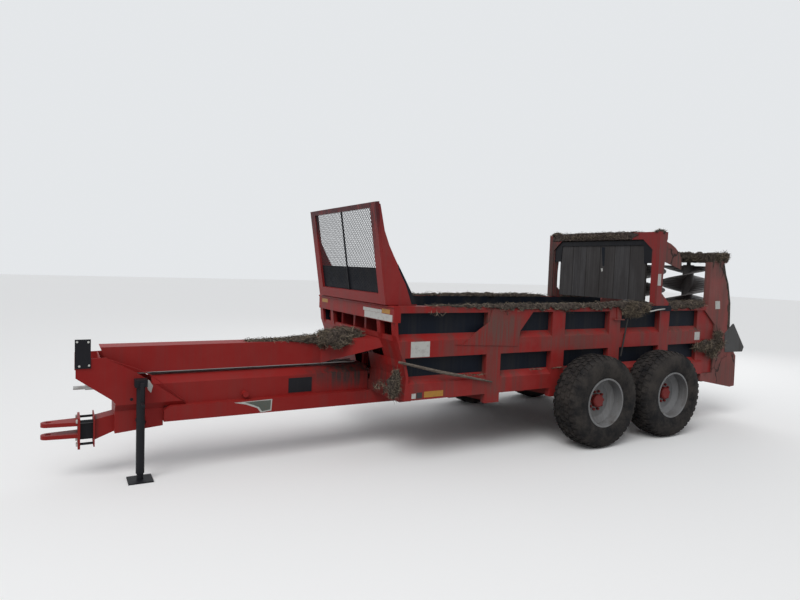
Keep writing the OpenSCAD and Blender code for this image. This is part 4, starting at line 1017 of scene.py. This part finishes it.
# Flat shapes on an upright plane: name, body, material, low and high side, outline in [station, height]
OUTLINES = [
    ("primer_rim", "chassis", white_plate, -0.2708, -0.2698,
     [[-1.425, 0.658], [-1.300, 0.630], [-1.245, 0.608], [-1.180, 0.582], [-1.145, 0.532], [-1.030, 0.543],
      [-1.022, 0.666], [-1.200, 0.662]]),
    ("primer_patch", "chassis", primer, -0.2716, -0.2704,
     [[-1.310, 0.652], [-1.225, 0.620], [-1.165, 0.592], [-1.130, 0.545], [-1.042, 0.556], [-1.036, 0.656],
      [-1.200, 0.656]]),
    ("endgate_foot_pad", "chassis", black_sheet_and_shade, -1.048, -1.0205,
     [[3.965, 1.700], [3.97, 1.640], [4.33, 1.628], [4.37, 1.640], [4.36, 1.702]]),
    ("hose_bracket_ledge", "chassis", red_side, -1.052, -1.0205,
     [[3.24, 1.537], [3.24, 1.522], [3.43, 1.514], [3.43, 1.529]]),
    ("hose_bracket_bar", "chassis", red_side, -1.030, -1.0205,
     [[3.300, 1.690], [3.315, 1.525], [3.392, 1.525], [3.385, 1.690]]),
    ("endgate_plate_white", "chassis", white_plate, -1.0464, -1.0448,
     [[4.048, 2.132], [4.046, 1.978], [4.112, 1.976], [4.112, 2.136]]),
    ("beater_plate", "chassis", white_plate, -1.0214, -1.0198,
     [[5.395, 1.765], [5.41, 1.648], [5.52, 1.650], [5.505, 1.768]]),
    ("wing_trim_left", "push_gate", black_sheet_and_shade, -0.9066, -0.9048, WING_TRIM),
    ("wing_trim_right", "push_gate", black_sheet_and_shade, 0.9048, 0.9066, WING_TRIM),
    ("chipped_paint", "chassis", white_plate, -0.2412, -0.2398,
     [[-2.269, 0.945], [-2.233, 0.942], [-2.197, 0.882], [-2.214, 0.815], [-2.241, 0.846]]),
    ("side_edge_crust_left", "chassis", manure, -1.0220, -1.0195, EDGE_LINE),
    ("side_edge_crust_right", "chassis", manure, 1.0195, 1.0220, EDGE_LINE),
]
for name, body, material, low, high, outline in OUTLINES:
    joined(name, prism_part(outline, low, high), body, material)

# Flat shapes on the endgate's boards: outlines in [side, height]
BOARD_FACE = (4.0778, 4.0792)
# The slot between two boards is a thin black sheet on their face: painted shade in the gap.
slot = prism_part([[-0.022, 2.505], [-0.088, 2.505], [-0.088, 2.225], [-0.054, 2.225]], *BOARD_FACE, axis=0)
joined("board_slot_shade", slot, "endgate", black_sheet_and_shade)
hole = prism_part([[-0.026, 2.186], [-0.060, 2.190], [-0.064, 2.150], [-0.040, 2.138]], *BOARD_FACE, axis=0)
joined("board_knot_hole", hole, "endgate", white_plate)

# Manure under the endgate's beam, with a ragged lower edge
CRUST_Y = np.linspace(-0.93, 0.93, 90)
CRUST_FOOT = 2.566 + 0.020 * waves(CRUST_Y[:, None] * [1, 0, 0], 0.22, 77)
under_beam = np.concatenate([np.stack([CRUST_Y, CRUST_FOOT], 1), [[0.93, 2.612], [-0.93, 2.612]]])
joined("under_beam_crust", prism_part(under_beam, 4.119, 4.150, axis=0), "chassis", manure)

white_rod = tube_part([[3.90, -1.060, 1.624], [4.06, -1.062, 1.648], [4.21, -1.060, 1.660]], 0.009, 8)
joined_mixed("white_rod", white_rod, "chassis", white_plate, smooth=True)

# On the left face of the tongue's nose: a hole and a second hole, each a thin black disc of painted shade, a
# ring around the second hole, and a weld
NOSE_FACE, HOLE_THICK = -0.2400, 0.0012
hole = hex_heads([[-2.386, NOSE_FACE, 0.765]], [0, -1, 0], 0.016, HOLE_THICK)
joined("nose_hole_shade", [hole], "chassis", black_sheet_and_shade)
STUB_X, STUB_Z, STUB_R = -2.288, 0.535, 0.036
turn = np.linspace(0, 2 * np.pi, 13)
stub_ring = line_of(STUB_X + STUB_R * np.cos(turn), NOSE_FACE - 0.0025, STUB_Z + STUB_R * np.sin(turn))
joined_mixed("stub_ring", tube_part(smooth_path(stub_ring, 3), 0.007, 8), "chassis", red_front, smooth=True)
hole = hex_heads([[STUB_X, NOSE_FACE, STUB_Z]], [0, -1, 0], 0.033, HOLE_THICK)
joined("stub_hole_shade", [hole], "chassis", black_sheet_and_shade)
weld = smooth_path([[-2.572, -0.2402, 1.152], [-2.225, -0.2402, 0.990], [-1.90, -0.2402, 0.705]], 8)
joined_mixed("nose_weld", tube_part(weld, 0.0045, 6), "chassis", red_front, smooth=True)

# Where a blank plate lies: the axis across it, and its two faces on that axis
ON_SIDE, ON_BAR = (1, -1.0212, -1.0198), (0, -0.0016, 0.0002)
PLATES = [  # name, material, where, ends along it, foot and top
    ("rail_plate", white_plate, ON_SIDE, [0.215, 0.450], [1.165, 1.330]),
    ("sill_plate_yellow", yellow_plate, ON_SIDE, [0.398, 0.642], [0.727, 0.790]),
    ("sill_plate_white", white_plate, ON_SIDE, [0.244, 0.296], [0.724, 0.778]),
    ("sill_plate_dark", dark_plate, ON_SIDE, [0.305, 0.372], [0.722, 0.786]),
    ("bar_plate_white", white_plate, ON_BAR, [-0.985, -0.335], [1.538, 1.610]),
    ("bar_plate_white_top", white_plate, ON_BAR, [-0.745, -0.300], [1.612, 1.648]),
    ("bar_plate_yellow", yellow_plate, ON_BAR, [-0.930, -0.752], [1.616, 1.662]),
    ("bar_plate_yellow_far", yellow_plate, ON_BAR, [0.735, 0.915], [1.618, 1.664]),
    ("rear_plate_white", white_plate, ON_SIDE, [4.955, 5.072], [1.205, 1.320]),
]
for name, material, (axis, outer, inner), (first, last), (foot, top) in PLATES:
    low, high = np.insert([first, foot], axis, outer), np.insert([last, top], axis, inner)
    joined(name, [box_part(low, high)], "chassis", material)

PLATE_BOLTS = [[-2.843, -0.25, 1.328], [-2.752, -0.25, 1.325], [-2.825, -0.25, 1.105], [-2.746, -0.25, 1.110]]
joined("hose_plate_bolts", [hex_heads(PLATE_BOLTS, [0, -1, 0], 0.011, 0.008)], "chassis", zinc)
HITCH_BOLTS = [[-2.832, y, z] for y in (-0.1, 0.1) for z in (0.345, 0.56)]
joined("hitch_bolts", [hex_heads(HITCH_BOLTS, [-1, 0, 0], 0.021, 0.016)], "chassis", zinc)


# Floor, light and camera
def seen_plainly(g):
    """1 for camera, glossy and transmission rays, and 0 for the rays that carry light between surfaces."""
    path = g.add("LightPath").outputs
    seen = g.math("MAXIMUM", path["Is Camera Ray"], path["Is Glossy Ray"])
    return g.math("MAXIMUM", seen, path["Is Transmission Ray"])


REACH = 60  # the studio floor's half width
floor_mesh = bpy.data.meshes.new("studio_floor")
floor_mesh.from_pydata([(-REACH, -REACH, 0), (REACH, -REACH, 0), (REACH, REACH, 0), (-REACH, REACH, 0)], [],
                       [(0, 1, 2, 3)])
floor = bpy.data.objects.new("studio_floor", floor_mesh)
bpy.context.scene.collection.objects.link(floor)
material, g, shader, where = new_material("studio_floor", Roughness=0.95, Specular_IOR_Level=0.1)
tone = g.mix(seen_plainly(g), (0.34, 0.34, 0.34, 1), (0.92, 0.92, 0.91, 1))
material.node_tree.links.new(tone, shader["Base Color"])
floor.data.materials.append(material)

world = bpy.data.worlds.new("overcast")
bpy.context.scene.world = world
world.use_nodes = True
g = Graph(world.node_tree)
back = world.node_tree.nodes["Background"]
tone = g.mix(seen_plainly(g), (0.50, 0.51, 0.53, 1), (0.78, 0.80, 0.82, 1))
world.node_tree.links.new(tone, back.inputs["Color"])
back.inputs["Strength"].default_value = 1.0


def soft_light(name, kind, energy, place, aim, **settings):
    """A lamp at a point that looks at another point."""
    data = bpy.data.lights.new(name, kind)
    data.energy = energy
    for key, value in settings.items():
        setattr(data, key, value)
    lamp = bpy.data.objects.new(name, data)
    bpy.context.scene.collection.objects.link(lamp)
    lamp.location = place
    lamp.rotation_euler = (Vector(aim) - Vector(place)).to_track_quat("-Z", "Y").to_euler()
    return lamp


soft_light("sky_sun", "SUN", 1.10, (-5.5, -4, 8), (0, 0, 0), angle=0.6)
soft_light("sky_panel", "AREA", 150, (-6, -5, 7), (0, 0, 1), shape="RECTANGLE", size=8, size_y=6)
soft_light("rear_panel", "AREA", 220, (8, 6, 6), (0.5, 0, 1.2), shape="RECTANGLE", size=8, size_y=6)

# The photograph's camera: place in the row frame, heading, dip and roll in degrees, and lens in millimetres
EYE, HEADING, DIP, ROLL, LENS = (-4.498, -6.356, 2.125), 60.33, -3.31, 2.04, 26.9
camera_data = bpy.data.cameras.new("photo_camera")
camera_data.sensor_width, camera_data.lens, camera_data.clip_end = 36.0, LENS, 300.0
camera = bpy.data.objects.new("photo_camera", camera_data)
bpy.context.scene.collection.objects.link(camera)
heading, dip, roll = (math.radians(a) for a in (HEADING, DIP, ROLL))
ahead = np.array([math.cos(heading) * math.cos(dip), math.sin(heading) * math.cos(dip), math.sin(dip)])
level = np.array([math.sin(heading), -math.cos(heading), 0])
over = np.cross(level, ahead)
right = math.cos(roll) * level + math.sin(roll) * over
up = -math.sin(roll) * level + math.cos(roll) * over
matrix = np.eye(4)
matrix[:3, 0], matrix[:3, 1], matrix[:3, 2], matrix[:3, 3] = right, up, -ahead, EYE
camera.matrix_world = Matrix(matrix.tolist())
bpy.context.scene.camera = camera
bpy.context.scene.view_settings.view_transform = "Standard"
